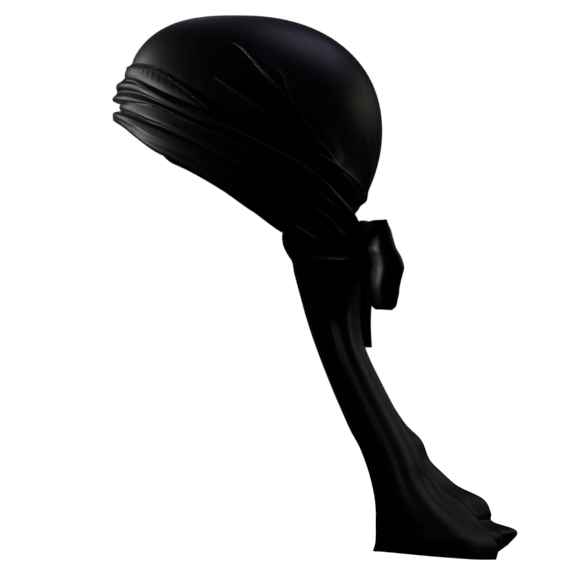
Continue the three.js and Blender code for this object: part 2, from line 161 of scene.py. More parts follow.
def edge(name: str, turn: Array) -> Array:
    """The depth of one of the main edges, which are alike on the left and the right."""
    return EDGES.read(name, np.abs(turn))


@dataclass(frozen=True)
class Hollow:
    """The space that the head fills: egg-shaped level rings stacked down from the top."""

    widest_depth: float = 88.4
    half_length: float = 98.8
    half_width: float = 77.0
    side_roundness: float = 2.5
    front_roundness: float = 2.3
    lean: float = 14.5
    lean_power: float = 1.7
    nape_taper: float = 0.005
    cheek_taper: float = 0.0026
    egg: float = 0.05
    top_depth: float = 0.4  # the highest place where a slope is measured

    @property
    def mm_per_degree(self) -> float:
        """How far round the head two turns a degree apart lie."""
        return math.pi * (self.half_length + self.half_width) / 360

    def point(self, turn: Array, depth: Array) -> Array:
        """A place on the hollow's surface.

        A level ring's reach and half width are superellipses of the depth: (1 - rise^p)^(1/p), less a share
        of the square of the drop below the widest ring. Its middle moves back as the depth grows, and its
        width shrinks towards the forehead.

        Args:
            turn: degrees round the head.
            depth: mm below the top.

        Returns:
            Points, with x, y and z in the last axis.
        """
        rise = np.maximum(0, 1 - depth / self.widest_depth)
        drop = np.maximum(0, depth - self.widest_depth)
        reach = self.half_length * (1 - rise**self.side_roundness) ** (1 / self.side_roundness)
        width = self.half_width * (1 - rise**self.front_roundness) ** (1 / self.front_roundness)
        middle = self.lean * (1 - rise**self.lean_power)
        forward = np.cos(np.radians(turn))
        sideways = np.sin(np.radians(turn)) * (1 - self.egg * forward)
        reach = np.where(forward > 0, reach, reach - self.nape_taper * drop**2)
        x = (width - self.cheek_taper * drop**2) * sideways
        return np.stack(np.broadcast_arrays(x, middle - reach * forward, -depth), axis=-1)

    def over(self, turn: Array, depth: Array, height: Array) -> Array:
        """A point that stands off the surface by a height, along the cross product of its two slopes."""
        at = np.maximum(depth, self.top_depth)
        across = self.point(turn + 0.5, at) - self.point(turn - 0.5, at)
        down = self.point(turn, at + 0.3) - self.point(turn, at - 0.3)
        outward = unit(np.cross(down, across))
        outward = np.where((depth > 0)[..., None], outward, np.array([0.0, 0.0, 1.0]))
        height = np.broadcast_to(height, depth.shape)
        return self.point(turn, np.maximum(depth, 0)) + outward * height[..., None]


HEAD = Hollow()


@dataclass(frozen=True)
class Crease:
    """A fine fold of the cloth along a line of places, each a turn and a depth.

    height is how far its crest stands out in mm, or in if it is negative. above and below are how far it
    spreads on the side of the top and on the side of the rim. power makes the crest round (2) or sharp (1.2).
    fade is the share of its length over which each end dies away.
    """

    places: tuple[tuple[float, float], ...]
    height: float
    above: float
    below: float
    power: float = 1.5
    fade: tuple[float, float] = (0.2, 0.15)
    steps: int = 26
    reach: float = 4.0

    def line(self) -> tuple[Array, Array]:
        """The line as points in mm, along a smooth curve through the places, and the share at each."""
        places = np.array(self.places, float) * (HEAD.mm_per_degree, 1.0)
        gaps = np.linalg.norm(np.diff(places, axis=0), axis=1)
        share = np.concatenate([[0.0], np.cumsum(gaps)]) / gaps.sum()
        curve = Table("share x y", np.column_stack([share, places]))
        at = np.linspace(0, 1, self.steps)
        return np.column_stack([curve.read("x", at), curve.read("y", at)]), at

    def heights(self, turn: Array, depth: Array) -> Array:
        """The fold's height at places: height x e^-(distance / spread)^power, faded along the line.

        Args:
            turn: degrees round the head.
            depth: mm below the top.

        Returns:
            How far the cloth stands out there, in mm.
        """
        line, at = self.line()
        x = turn * HEAD.mm_per_degree
        margin = self.reach * max(self.above, self.below)
        low, high = line.min(axis=0) - margin, line.max(axis=0) + margin
        near = (x > low[0]) & (x < high[0]) & (depth > low[1]) & (depth < high[1])
        px, py = x[near], depth[near]
        best = np.full(px.shape, np.inf)
        under = np.zeros(px.shape)
        share = np.zeros(px.shape)
        for start, end, first, last in zip(line[:-1], line[1:], at[:-1], at[1:]):
            run = end - start
            t = np.clip(((px - start[0]) * run[0] + (py - start[1]) * run[1]) / (run @ run), 0, 1)
            off_x = px - (start[0] + t * run[0])
            off_y = py - (start[1] + t * run[1])
            distance = np.hypot(off_x, off_y)
            closer = distance < best
            best = np.where(closer, distance, best)
            under = np.where(closer, off_y * abs(run[0]) - off_x * run[1] * np.sign(run[0]), under)
            share = np.where(closer, mix(first, last, t), share)
        spread = np.where(under > 0, self.below, self.above)
        fade = smooth(share, 0, self.fade[0]) * (1 - smooth(share, 1 - self.fade[1], 1))
        found = np.zeros(np.shape(depth))
        found[near] = self.height * fade * np.exp(-((best / spread) ** self.power))
        return found


def all_creases(creases: Sequence[Crease], turn: Array, depth: Array) -> Array:
    """The creases' heights added up."""
    total = np.zeros(np.shape(depth))
    for crease in creases:
        total += crease.heights(turn, depth)
    return total


def mirrored(creases: Sequence[Crease], turn_shift: float, depth_shift: float) -> tuple[Crease, ...]:
    """The same creases on the other side of the head, shifted a little so that the sides aren't copies."""
    return tuple(
        Crease(
            tuple((-turn - turn_shift, depth + depth_shift) for turn, depth in crease.places),
            crease.height,
            crease.above,
            crease.below,
            crease.power,
            crease.fade,
        )
        for crease in creases
    )


@dataclass
class Shell:
    """A closed sheet of cloth between two grids of points, in mm.

    outer and inner have a row for each step down and a column for each step across. flat holds each place on
    the flat cloth, in mm, for the weave. A round shell's last column meets its first, a pole is a first row
    that is one point, and inner_step leaves out rows of the side that lies on the head.
    """

    outer: Array
    inner: Array
    flat: Array
    is_round: bool = False
    has_pole: bool = False
    inner_step: int = 1

    def numbers(self, rows: int, columns: int) -> Array:
        """The vertex number of each place of a grid, with the first column again after the last if round."""
        number = np.arange(rows * columns).reshape(rows, columns)
        if self.has_pole:
            number = np.vstack([np.zeros(columns, int), number[1:] - columns + 1])
        return np.hstack([number, number[:, :1]]) if self.is_round else number

    def points(self, grid: Array) -> Array:
        """A grid's points in the order of its vertices."""
        if not self.has_pole:
            return grid.reshape(-1, 3)
        return np.vstack([grid[0, :1], grid[1:].reshape(-1, 3)])

    def parts(self) -> tuple[Array, list[Array], Array]:
        """The shell's points, its faces and its places on the flat cloth.

        Each grid cell is a face of the outer side and, turned round, of the inner side, and strips join the
        two sides along the open edges. A face's corners each hold a vertex number and a flat cloth number.

        Returns:
            The points, the four-sided and the three-sided faces, and the flat places.
        """
        inner = self.inner[:: self.inner_step]
        vertex, vertex_inside = (self.numbers(*grid.shape[:2]) for grid in (self.outer, inner))
        points = self.points(self.outer)
        place = np.arange(vertex.size).reshape(vertex.shape)
        out = np.stack([vertex, place], -1)
        into = np.stack([vertex_inside + len(points), place[:: self.inner_step]], -1)

        def cells(grid: Array) -> Array:
            """The four corners of each cell of a grid."""
            found = np.stack([grid[:-1, :-1], grid[1:, :-1], grid[1:, 1:], grid[:-1, 1:]], axis=-2)
            return found.reshape(-1, 4, 2)

        def strip(first: Array, second: Array) -> Array:
            """The faces between two lines of corners."""
            return np.stack([first[:-1], second[:-1], second[1:], first[1:]], axis=-2)

        groups = [cells(out), cells(into)[:, ::-1], strip(out[-1], into[-1])]
        if not self.has_pole:
            groups.append(strip(into[0], out[0]))
        if not self.is_round:
            groups.append(strip(into[:, 0], out[:, 0])[:, ::-1])
            groups.append(strip(out[:, -1], into[:, -1])[:, ::-1])
        quads = np.concatenate(groups)
        beside = quads[:, 0, 0] == quads[:, 3, 0]
        points = np.vstack([points, self.points(inner)])
        flat = np.broadcast_to(self.flat, (*place.shape, 2)).reshape(-1, 2)
        return points, [quads[~beside], quads[beside][:, :3]], flat


def shells_object(name: str, shells: Sequence[Shell]) -> bpy.types.Object:
    """Makes one piece of one or more shells."""
    points, faces, flats = [], [], []
    vertices = places = 0
    for shell in shells:
        own_points, own_faces, own_flat = shell.parts()
        turned = facing_out(own_points, own_faces)
        faces.extend(group + np.array([vertices, places]) for group in turned)
        vertices += len(own_points)
        places += len(own_flat)
        points.append(own_points)
        flats.append(own_flat)
    return mesh_object(name, np.vstack(points), faces, np.vstack(flats))


def facing_out(points: Array, faces: Sequence[Array]) -> list[Array]:
    """Turns a closed mesh's faces round if they point inwards, which six times its signed volume tells."""
    volume = 0.0
    for group in faces:
        corner = points[group[..., 0]]
        for k in range(1, group.shape[1] - 1):
            volume += np.einsum("ij,ij->", corner[:, 0], np.cross(corner[:, k], corner[:, k + 1]))
    return [group[:, ::-1] if volume < 0 else group for group in faces]


def mesh_object(
    name: str, points: Array, faces: Sequence[Array], flat: Array
) -> bpy.types.Object:
    """Makes an object from points in mm and faces.

    Args:
        name: the object's name.
        points: one row a vertex.
        faces: arrays of faces, whose corners each hold a vertex number and a flat cloth number.
        flat: places on the flat cloth, in mm.

    Returns:
        The object, smooth shaded.
    """
    mesh = bpy.data.meshes.new(name)
    listed = [face for group in faces for face in group[..., 0].tolist()]
    mesh.from_pydata((points * MM).tolist(), [], listed)
    mesh.polygons.foreach_set("use_smooth", np.ones(len(listed), bool))
    numbers = np.concatenate([group[..., 1].ravel() for group in faces])
    uv = mesh.uv_layers.new(name=FLAT_CLOTH)
    uv.data.foreach_set("uv", (flat[numbers] * MM).astype(np.float32).ravel())
    mesh.update()
    made = bpy.data.objects.new(name, mesh)
    bpy.context.scene.collection.objects.link(made)
    return made


FLAT_CLOTH = "flat_cloth"


@dataclass(frozen=True)
class Crest:
    """A pinched fold: the cloth stands up in a thin sharp ridge along a line of places.

    It is too thin for the grid of the cloth around it, so it is a narrow strip of its own, with columns along
    the line and rows across it.
    """

    places: tuple[tuple[float, float], ...]
    height: float = 0.9
    half_width: float = 1.3
    fade: tuple[float, float] = (0.1, 0.1)
    steps: int = 64
    rows: int = 8
    sink: float = 0.12
    base: float = 0.5

    def shell(self, ground: Callable[[Array, Array], Array]) -> Shell:
        """The strip as a shell: its rows cross the line from -1 to 1, and its height is (1 - u^2)^2.

        Args:
            ground: gives the height of the cloth around it over the head at a turn and a depth.

        Returns:
            The shell, which sinks into the cloth at its edges.
        """
        line, share = Crease(self.places, 0, 0, 0, steps=self.steps).line()
        along = unit(np.gradient(line, axis=0))
        aside = np.column_stack([-along[:, 1], along[:, 0]])
        u = np.linspace(-1, 1, self.rows + 1)
        fade = smooth(share, 0, self.fade[0]) * (1 - smooth(share, 1 - self.fade[1], 1))
        wide = self.half_width * (0.4 + 0.6 * fade)
        place = line[None] + (u[:, None] * wide[None])[..., None] * aside[None]
        turn, depth = place[..., 0] / HEAD.mm_per_degree, place[..., 1]
        lift = self.height * fade[None] * ((1 - u**2) ** 2)[:, None]
        floor = ground(turn, depth)
        outer = HEAD.over(turn, depth, floor + lift - self.sink)
        inner = HEAD.over(turn, depth, floor - self.base)
        return Shell(outer, inner, place)


def flat_places(middle: Array) -> Array:
    """Places on the flat cloth from arc lengths: mm along the middle row and down each column."""
    steps_x = np.linalg.norm(np.diff(middle, axis=1), axis=-1)
    steps_y = np.linalg.norm(np.diff(middle, axis=0), axis=-1)
    x = np.cumsum(np.pad(steps_x, ((0, 0), (1, 0))), axis=1)
    y = np.cumsum(np.pad(steps_y, ((1, 0), (0, 0))), axis=0)
    x = np.broadcast_to(x[len(x) // 2], x.shape)
    return np.stack([x, y], axis=-1)


def sheet_sides(surface: Surface, across: Array, down: Array, thickness: Array) -> tuple[Array, Array]:
    """The two sides of a sheet whose middle is a surface.

    Args:
        surface: gives points for shares across and down.
        across: shares from 0 to 1 across the sheet.
        down: shares from 0 to 1 down the sheet.
        thickness: mm, one number or a grid.

    Returns:
        The outer and inner grids, half the thickness off the middle along its normal.
    """
    step = 1e-3
    s, t = np.meshgrid(across, down)
    middle = surface(s, t)
    run = surface(s + step, t) - surface(s - step, t)
    fall = surface(s, t + step) - surface(s, t - step)
    half = unit(np.cross(fall, run)) * np.broadcast_to(thickness, s.shape)[..., None] / 2
    return middle + half, middle - half


def soften_edges(piece: bpy.types.Object, width: float, segments: int = 2) -> None:
    """Rounds the cut edges of a cloth piece, where its sides meet at more than EDGE_ANGLE."""
    bevel = piece.modifiers.new("rolled edge", "BEVEL")
    bevel.width = width * MM
    bevel.segments = segments
    bevel.limit_method = "ANGLE"
    bevel.angle_limit = math.radians(EDGE_ANGLE)
    bevel.loop_slide = False


def linear(colour: str) -> tuple[float, float, float, float]:
    """An sRGB hex colour as linear light: (c + 0.055) / 1.055 to the 2.4, or c / 12.92 when dark."""
    parts = [int(colour[i : i + 2], 16) / 255 for i in (1, 3, 5)]
    light = [c / 12.92 if c <= 0.04045 else ((c + 0.055) / 1.055) ** 2.4 for c in parts]
    return (*light, 1.0)


def add_node(
    tree: bpy.types.NodeTree, kind: str, inputs: dict[str | int, object], **settings: object
) -> bpy.types.Node:
    """Adds a node.

    Args:
        tree: the material's node tree.
        kind: the node's type, without "ShaderNode".
        inputs: values or output sockets for its inputs, by name or number.
        settings: the node's own properties.

    Returns:
        The node.
    """
    node = tree.nodes.new("ShaderNode" + kind)
    for name, value in settings.items():
        setattr(node, name, value)
    for key, value in inputs.items():
        if isinstance(value, bpy.types.NodeSocket):
            tree.links.new(value, node.inputs[key])
        else:
            node.inputs[key].default_value = value
    return node


@dataclass(frozen=True)
class SilkySatin:
    """Black polyester satin, as silky durags are cut from: woven with long floats and piece dyed.

    It stays nearly black where it faces the eye, and shows a soft grey-blue glow where it turns away towards
    a light. The floats give fine streaks along the warp, and the yarns a faint diagonal rib.
    """

    name: str
    colour: str
    streak_colour: str
    roughness: float
    sheen: float
    sheen_tint: str = "#9aa0c4"
    sheen_roughness: float = 0.25
    specular: float = 0.25
    rib_mm: float = 1.1  # the real rib is about 0.35 mm, too fine to show
    rib_depth_mm: float = 0.035
    streak_mm: float = 1.6
    streak_length_mm: float = 40.0
    streak_tones: tuple[float, float] = (0.3, 0.7)  # the noise between which the roughness changes
    streak_roughness: tuple[float, float] = (-0.05, 0.06)  # and by how much
    ripple_mm: float = 14.0
    ripple_depth_mm: float = 0.22

    def build(self) -> bpy.types.Material:
        """Makes the material: colour and roughness vary along the streaks, and rib and ripples are bump."""
        made = bpy.data.materials.new(self.name)
        made.use_nodes = True
        tree = made.node_tree
        shader = tree.nodes["Principled BSDF"]
        flat = add_node(tree, "UVMap", {}, uv_map=FLAT_CLOTH).outputs["UV"]
        stretched = add_node(
            tree,
            "Mapping",
            {"Vector": flat, "Scale": (1 / (self.streak_mm * MM), 1 / (self.streak_length_mm * MM), 1.0)},
        )
        streaks = add_node(
            tree, "TexNoise", {"Vector": stretched.outputs["Vector"], "Scale": 1.0, "Detail": 3.0}
        )
        colour = add_node(
            tree,
            "Mix",
            {
                "Factor": streaks.outputs[0],
                "A": linear(self.colour),
                "B": linear(self.streak_colour),
            },
            data_type="RGBA",
        )
        roughness = add_node(
            tree,
            "MapRange",
            {
                "Value": streaks.outputs[0],
                "From Min": self.streak_tones[0],
                "From Max": self.streak_tones[1],
                "To Min": self.roughness + self.streak_roughness[0],
                "To Max": self.roughness + self.streak_roughness[1],
            },
        )
        rib = add_node(
            tree,
            "TexWave",
            {"Vector": flat, "Scale": self.wave_scale(), "Distortion": 0.4, "Detail": 1.0},
            wave_type="BANDS",
            bands_direction="DIAGONAL",
        )
        ripple = add_node(
            tree, "TexNoise", {"Vector": flat, "Scale": 1 / (self.ripple_mm * MM), "Detail": 2.0}
        )
        fine = add_node(
            tree,
            "Bump",
            {"Height": rib.outputs["Fac"], "Strength": 0.6, "Distance": self.rib_depth_mm * MM},
        )
        broad = add_node(
            tree,
            "Bump",
            {
                "Height": ripple.outputs[0],
                "Strength": 0.5,
                "Distance": self.ripple_depth_mm * MM,
                "Normal": fine.outputs["Normal"],
            },
        )
        tree.links.new(colour.outputs[2], shader.inputs["Base Color"])
        tree.links.new(roughness.outputs[0], shader.inputs["Roughness"])
        tree.links.new(broad.outputs["Normal"], shader.inputs["Normal"])
        shader.inputs["Specular IOR Level"].default_value = self.specular
        shader.inputs["Sheen Weight"].default_value = self.sheen
        shader.inputs["Sheen Roughness"].default_value = self.sheen_roughness
        shader.inputs["Sheen Tint"].default_value = linear(self.sheen_tint)
        return made

    def wave_scale(self) -> float:
        """The Wave Texture's scale for one rib each rib_mm: its bands repeat every 2 pi / 20 / scale."""
        return math.pi / 10 / (self.rib_mm * MM)


@dataclass(frozen=True)
class PolyesterThread:
    """Spun polyester sewing thread, dyed black, coloured a lighter grey as a painted highlight so that the
    stitches show; it is rounder and duller than the satin.
    """

    name: str = "black_thread_painted_highlight"
    # grey rather than black: a painted highlight on the black thread
    colour: str = "#4c4c58"
    roughness: float = 0.55
    twist_mm: float = 0.5

    def build(self) -> bpy.types.Material:
        """Makes the material, with the thread's twist as fine bands of bump."""
        made = bpy.data.materials.new(self.name)
        made.use_nodes = True
        tree = made.node_tree
        shader = tree.nodes["Principled BSDF"]
        place = add_node(tree, "TexCoord", {}).outputs["Object"]
        twist = add_node(
            tree,
            "TexNoise",
            {"Vector": place, "Scale": 1 / (self.twist_mm * MM), "Detail": 1.0},
        )
        bump = add_node(
            tree, "Bump", {"Height": twist.outputs[0], "Strength": 0.4, "Distance": 0.1 * MM}
        )
        tree.links.new(bump.outputs["Normal"], shader.inputs["Normal"])
        shader.inputs["Base Color"].default_value = linear(self.colour)
        shader.inputs["Roughness"].default_value = self.roughness
        return made


class Held(Enum):
    """How a piece of cloth is held."""

    STRETCHED = "stretched"
    GATHERED = "gathered"
    HUNG = "hung"
    FOLDED = "folded"


class Slot(Enum):
    """The record's material slots."""

    CAP = "cap_satin"
    STRAPS = "strap_satin"


@dataclass(frozen=True)
class Cut:
    """The flat cloth that a piece was cut to: its size in metres, how it is held, its area if not oblong."""

    width: float
    length: float
    held: Held
    rests_on: tuple[str, ...] = ()
    area: float | None = None


def dress(
    piece: bpy.types.Object,
    material: bpy.types.Material,
    nodes: Sequence[str] = (),
) -> bpy.types.Object:
    """Gives a finished piece its material and body, hides the CAD nodes that it stands for, and logs its face
    count.

    Args:
        piece: the piece, in its place.
        material: its finish.
        nodes: the CAD nodes that it stands for.

    Returns:
        The piece.
    """
    piece.data.materials.append(material)
    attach(piece, BODY)
    if nodes:
        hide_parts(*nodes)
    log.info("%s: %d faces", piece.name, len(piece.data.polygons))
    return piece


def past_ear(turn: Array, front: Array, ear: Array, nape: Array) -> Array:
    """Reads a value that changes from the forehead to the ear, as turn^0.7, and evenly on to the nape."""
    past = np.abs(turn) / 90
    return np.where(past < 1, mix(front, ear, np.minimum(past, 1) ** 0.7), mix(ear, nape, past - 1))


@dataclass(frozen=True)
class Gathers:
    """The gathers that the knot draws into the cap above the nape."""

    count: float = 15
    height: float = 1.5
    start: float = 96
    full: float = 150
    spread: float = 62

    def heights(self, turn: Array, depth: Array) -> Array:
        """A wave round the head that grows towards the nape and down towards the knot."""
        from_nape = 180 - np.abs(turn)
        reach = bell(from_nape, self.spread) * smooth(depth, self.start, self.full)
        return self.height * reach * (0.5 + 0.5 * np.cos(np.radians(turn * self.count)))


@dataclass(frozen=True)
class BroadFold:
    """A broad ridge along a bowed line on the cap, highest in its middle and fading at its upper end."""

    start: tuple[float, float]
    end: tuple[float, float]
    height: float
    width: float
    bow: float

    def heights(self, turn: Array, depth: Array) -> Array:
        """The height at places: a bell across the line, shifted by 4 bow t (1 - t) along it."""
        along_x = (self.end[0] - self.start[0]) * HEAD.mm_per_degree
        along_y = self.end[1] - self.start[1]
        length = math.hypot(along_x, along_y)
        x = (turn - self.start[0]) * HEAD.mm_per_degree
        y = depth - self.start[1]
        t = (x * along_x + y * along_y) / length**2
        bowed = math.copysign(1, along_x) * self.bow * 4 * t * (1 - t)
        aside = (x * along_y - y * along_x) / length + bowed
        fade = smooth(t, -0.05, 0.3) * (1 - smooth(t, 0.98, 1.06))
        return self.height * fade * bell(aside, self.width)


# The fine folds that the photograph shows on the left of the cap
CAP_CREASES = (
    Crease(((84, 24), (97.5, 49), (108, 72), (116, 92), (131, 118), (146, 134)), 0.85, 1.5, 2.6, 1.3),
    Crease(((104, 46), (106, 59), (108, 70)), 0.6, 1.6, 1.6, 1.4, (0.3, 0.3)),
    Crease(((74, 50), (94.5, 76), (112, 97), (126, 113.5), (147, 129), (166, 141)), 1.1, 1.6, 4.2, 1.3),
    Crease(((120, 110), (138, 127), (156, 141), (170, 150)), 0.9, 2.2, 2.2, 1.5),
    Crease(((158, 104), (163, 126), (170, 148)), 0.9, 2.6, 2.0, 1.4),
    Crease(((166, 92), (170, 118), (175, 148)), -0.7, 2.4, 2.4, 1.6),
    Crease(((149, 88), (155, 112), (164, 140)), 0.5, 3.2, 2.4, 1.6),
    Crease(((60, 41), (82, 56), (100, 74), (118, 96)), 0.22, 4.0, 5.0, 1.8, (0.4, 0.4)),
    Crease(((100, 92), (116, 106), (134, 124), (154, 144)), 0.45, 2.0, 2.8, 1.5),
)
CAP_CRESTS = tuple(
    Crest(tuple((side * turn, depth) for turn, depth in places), height)
    for side in (1, -1)
    for places, height in (
        (((81, 22), (89, 28.5), (97.5, 49), (108, 72), (116, 92), (131, 117)), 1.25),
        (((104.5, 45), (106, 52), (106, 60), (107.5, 68)), 0.9),
        (((72, 48), (94.5, 76), (112, 97), (118, 107), (126, 113.5), (147, 128), (163, 137)), 1.6),
        (((138, 125), (152, 138), (166, 147)), 0.9),
    )
)
CAP_FOLDS = (
    BroadFold((90, 28), (133, 117), 1.4, 8, 0),
    BroadFold((112, 101), (168, 146), 3.2, 10, 6),
    BroadFold((-92, 40), (-136, 118), 1.4, 8, 3),
    BroadFold((-114, 104), (-168, 146), 3.0, 10, 6),
)


@dataclass
class Cap:
    """The cap: a dome of one layer, with a flat seam over its middle and folds drawn towards the knot."""

    columns: int = 340
    rows: int = 168
    inner_step: int = 4
    side_depth: float = 60.0  # mm of depth below the widest ring that count as one more dome height
    band_half_turn: float = 75.0
    seam_half_width: float = 3.2
    seam_height: float = 0.45
    seam_fade: float = 1.2
    pucker_mm: float = 6.5
    pucker_height: float = 0.16
    pucker_reach: float = 9.0
    pucker_middle: float = 4.0  # mm above the stitches
    folds_end: tuple[float, float] = (15.0, 5.0)  # mm above the cover where the broad folds die away
    creases_end: tuple[float, float] = (7.0, 3.0)  # and where the fine ones do
    groove_width: float = 0.7
    groove_share: float = 0.7  # the groove's depth as a share of the seam's height
    inner_share: float = 0.999  # how much of the folds the inner side follows
    gathers: Gathers = field(default_factory=Gathers)
    spacing: tuple[tuple[float, float], ...] = ((0, 0), (0.24, 72), (0.86, 163), (1, 180))

    def turns(self) -> Array:
        """The columns' turns, closer together at the sides, where the folds are, than at the forehead."""
        share = np.linspace(-1, 1, self.columns, endpoint=False)
        shares, turns = np.array(self.spacing).T
        return np.interp(np.abs(share), shares, turns) * np.where(share < 0, -1, 1)

    def depths(self, turn: Array) -> Array:
        """The depths down a column: even steps of the dome's angle, and then of depth, to the rim."""
        rim = edge("rim", turn)
        dome = HEAD.widest_depth
        power = HEAD.side_roundness / 2
        angle = np.arccos(np.maximum(1 - rim / dome, 0) ** power) / (math.pi / 2)
        reach = np.where(rim < dome, angle, 1 + (rim - dome) / self.side_depth)
        along = reach * np.linspace(0, 1, self.rows + 1)[:, None]
        on_dome = dome * (1 - np.cos(np.minimum(along, 1) * math.pi / 2) ** (1 / power))
        return on_dome + np.maximum(0, along - 1) * self.side_depth

    def cover(self, turn: Array) -> Array:
        """The depth at which the band or a strap starts to cover the cap."""
        upper = edge("upper", turn)
        banded = np.abs(turn) < self.band_half_turn
        return np.where(banded, np.minimum(upper, edge("stitch", turn)), upper)

    def relief(self, turn: Array, depth: Array) -> Array:
        """How far the cloth stands off the head: folds, gathers, fine creases, seam and puckers."""
        cover = self.cover(turn)
        bare = 1 - smooth(depth, cover - self.folds_end[0], cover - self.folds_end[1])
        crisp = 1 - smooth(depth, cover - self.creases_end[0], cover - self.creases_end[1])
        folds = sum(fold.heights(turn, depth) for fold in CAP_FOLDS) + self.gathers.heights(turn, depth)
        right = mirrored(CAP_CREASES, 3.0, 4.0)
        fine = all_creases(CAP_CREASES + right, turn, depth)
        from_stitch = cover - depth
        puckers = 0.5 + 0.5 * np.cos(2 * math.pi * turn * HEAD.mm_per_degree / self.pucker_mm)
        banded = np.abs(turn) < self.band_half_turn
        sewn = bell(from_stitch - self.pucker_middle, self.pucker_reach) * banded
        raised = bare * folds + crisp * (fine + self.seam(turn, depth))
        return raised + crisp * sewn * puckers * self.pucker_height

    def seam(self, turn: Array, depth: Array) -> Array:
        """A flat raised strip over the middle of the head, where the cap's two halves are joined."""
        aside = np.abs(HEAD.point(turn, depth)[..., 0])
        strip = 1 - smooth(aside, self.seam_half_width - self.seam_fade, self.seam_half_width)
        groove = bell(aside, self.groove_width)
        return self.seam_height * (strip - self.groove_share * groove)

    def build(self, material: bpy.types.Material) -> bpy.types.Object:
        """Builds the cap's cloth."""
        turn, depth = np.broadcast_arrays(self.turns()[None, :], self.depths(self.turns()))
        relief = self.relief(turn, depth)
        outer = HEAD.over(turn, depth, CLOTH + relief)
        inner = HEAD.over(turn, depth, relief * self.inner_share)
        wrapped = np.concatenate([self.turns(), [180.0]])
        flat = np.stack(
            [
                np.broadcast_to(wrapped * HEAD.mm_per_degree, (self.rows + 1, self.columns + 1)),
                np.hstack([depth, depth[:, :1]]),
            ],
            axis=-1,
        )
        cloth = Shell(outer, inner, flat, True, True, self.inner_step)
        crests = [crest.shell(lambda at, down: CLOTH + self.relief(at, down)) for crest in CAP_CRESTS]
        piece = shells_object("cap_cloth", [cloth, *crests])
        soften_edges(piece, 0.45)
        return dress(piece, material, ["crown"])


def left_share(turn: Array) -> Array:
    """1 on the left of the crossing on the forehead and 0 on the right of it."""
    return smooth(turn, Straps.cross_from, Straps.cross_to)


# How high each line across a strap stands above the flat strap, from its upper edge (0) to its lower edge
# (1), and how much more it stands off beside the knot
HIGH_PLEATS = Table(
    "place front ear nape knot",
    (
        (0, 0.2, 0.2, 0.4, 0),
        (0.12, 1.6, 0.8, 1.4, 0),
        (0.24, 2.6, 1.0, 1.8, 0),
        (0.38, 2.6, 0.9, 1.4, 0),
        (0.6, 1.6, 0.4, 0.4, 0),
        (0.8, 4.6, 1.3, 1.6, 0),
        (0.93, 4.0, 1.0, 1.2, 0),
        (1, 1.0, 0.4, 0.3, 0),
    ),
)
LOW_PLEATS = Table(
    "place front ear nape knot",
    (
        (0, 0, 0, 0, 0),
        (0.16, 1.4, 0.7, 0.5, 4.5),
        (0.31, 1.2, 1.8, 2.8, 7),
        (0.4, 0.6, 0.8, 0.9, 9.5),
        (0.49, 5.8, 1.2, 0.7, 11),
        (0.8, 6.6, 1.8, 2.6, 12),
        (0.93, 6.2, 1.5, 2.0, 11.5),
        (1, 4.6, 0.8, 0.8, 9.5),
    ),
)

# The fine pleats of both straps, given for the left side and used on both
STRAP_CREASES = (
    Crease(
        ((8, 50.4), (26, 52), (37, 57), (51, 67.5), (68, 79.5), (87, 95), (103, 109), (117, 121)),
        0.5,
        0.8,
        2.2,
    ),
    Crease(((112, 117.5), (124, 128.5), (134, 138.5), (148, 148), (178, 158.5)), 0.8, 1.0, 2.0, 1.3),
    Crease(((4, 65.5), (28, 67.5), (45, 71.5), (62, 83), (82, 98.5), (103, 116)), 0.7, 1.6, 1.1, 1.3),
    Crease(((98, 112.5), (117, 132), (130, 143), (150, 154), (178, 161)), 0.8, 1.4, 1.1, 1.3),
    Crease(((2, 58.3), (24, 59.8), (40, 65), (54, 75.5)), -1.0, 1.3, 1.3, 1.4, (0.02, 0.5)),
    Crease(((30, 57), (50, 70), (72, 86), (92, 101)), 0.35, 1.1, 1.6, 1.4, (0.3, 0.4)),
    Crease(((2, 72), (13, 74), (28, 78), (37, 82.5), (50, 91)), -1.5, 1.4, 1.2, 1.4, (0.02, 0.5)),
    Crease(((6, 76), (24, 81.5), (40, 92), (58, 104)), 0.5, 1.6, 1.6, 1.4, (0.1, 0.5)),
    Crease(((20, 84), (38, 96), (57, 108), (84, 130), (104, 152)), -0.45, 2.0, 1.6, 1.5, (0.3, 0.4)),
    Crease(((92, 123), (111, 140), (118, 145), (133, 154), (149, 163), (176, 169)), 1.2, 1.2, 2.2, 1.3),
    Crease(((100, 139), (114, 150), (128, 158), (148, 166), (176, 172)), -0.8, 1.5, 1.5, 1.4),
    Crease(((104, 152), (120, 164), (133, 170), (155, 174), (176, 175.5)), 1.0, 2.4, 2.8, 1.6),
    Crease(((108, 133), (122, 143), (138, 152.5), (160, 160.5)), 0.6, 1.0, 1.0, 1.3),
    Crease(((84, 116), (100, 131), (114, 143)), 0.35, 1.6, 1.6, 1.5, (0.4, 0.3)),
    Crease(((60, 112), (80, 130), (98, 152), (112, 164)), 0.4, 1.8, 1.8, 1.5, (0.4, 0.3)),
)

# The sharpest pleats on the left: two run past the ear, and the other six gather at the knot
OVER_CRESTS = (
    Crest(
        ((10, 50.6), (26, 52), (37, 57), (51, 67.5), (68, 79.5), (87, 95), (103, 109), (117, 121)),
        0.9,
        1.0,
    ),
    Crest(((110, 115.5), (124, 128.5), (134, 138.5), (148, 148), (172, 157.6)), 1.3, 1.2),
    Crest(((118, 128), (131, 141), (146, 151.5), (168, 160)), 0.9, 0.9),
    Crest(((40, 70), (62, 83), (82, 98.5), (103, 116)), 0.7, 0.9),
)
UNDER_CRESTS = (
    Crest(((92, 123), (111, 140), (118, 145), (133, 154), (149, 163), (172, 168.5)), 2.0, 1.4),
    Crest(((112, 134), (124, 144), (139, 152.8), (162, 161.5)), 1.7, 1.2),
    Crest(((104, 152), (120, 164), (133, 169.5), (155, 173.5)), 1.8, 1.5),
    Crest(((106, 146), (119, 155), (134, 163.5), (158, 171)), 1.2, 1.0),
)


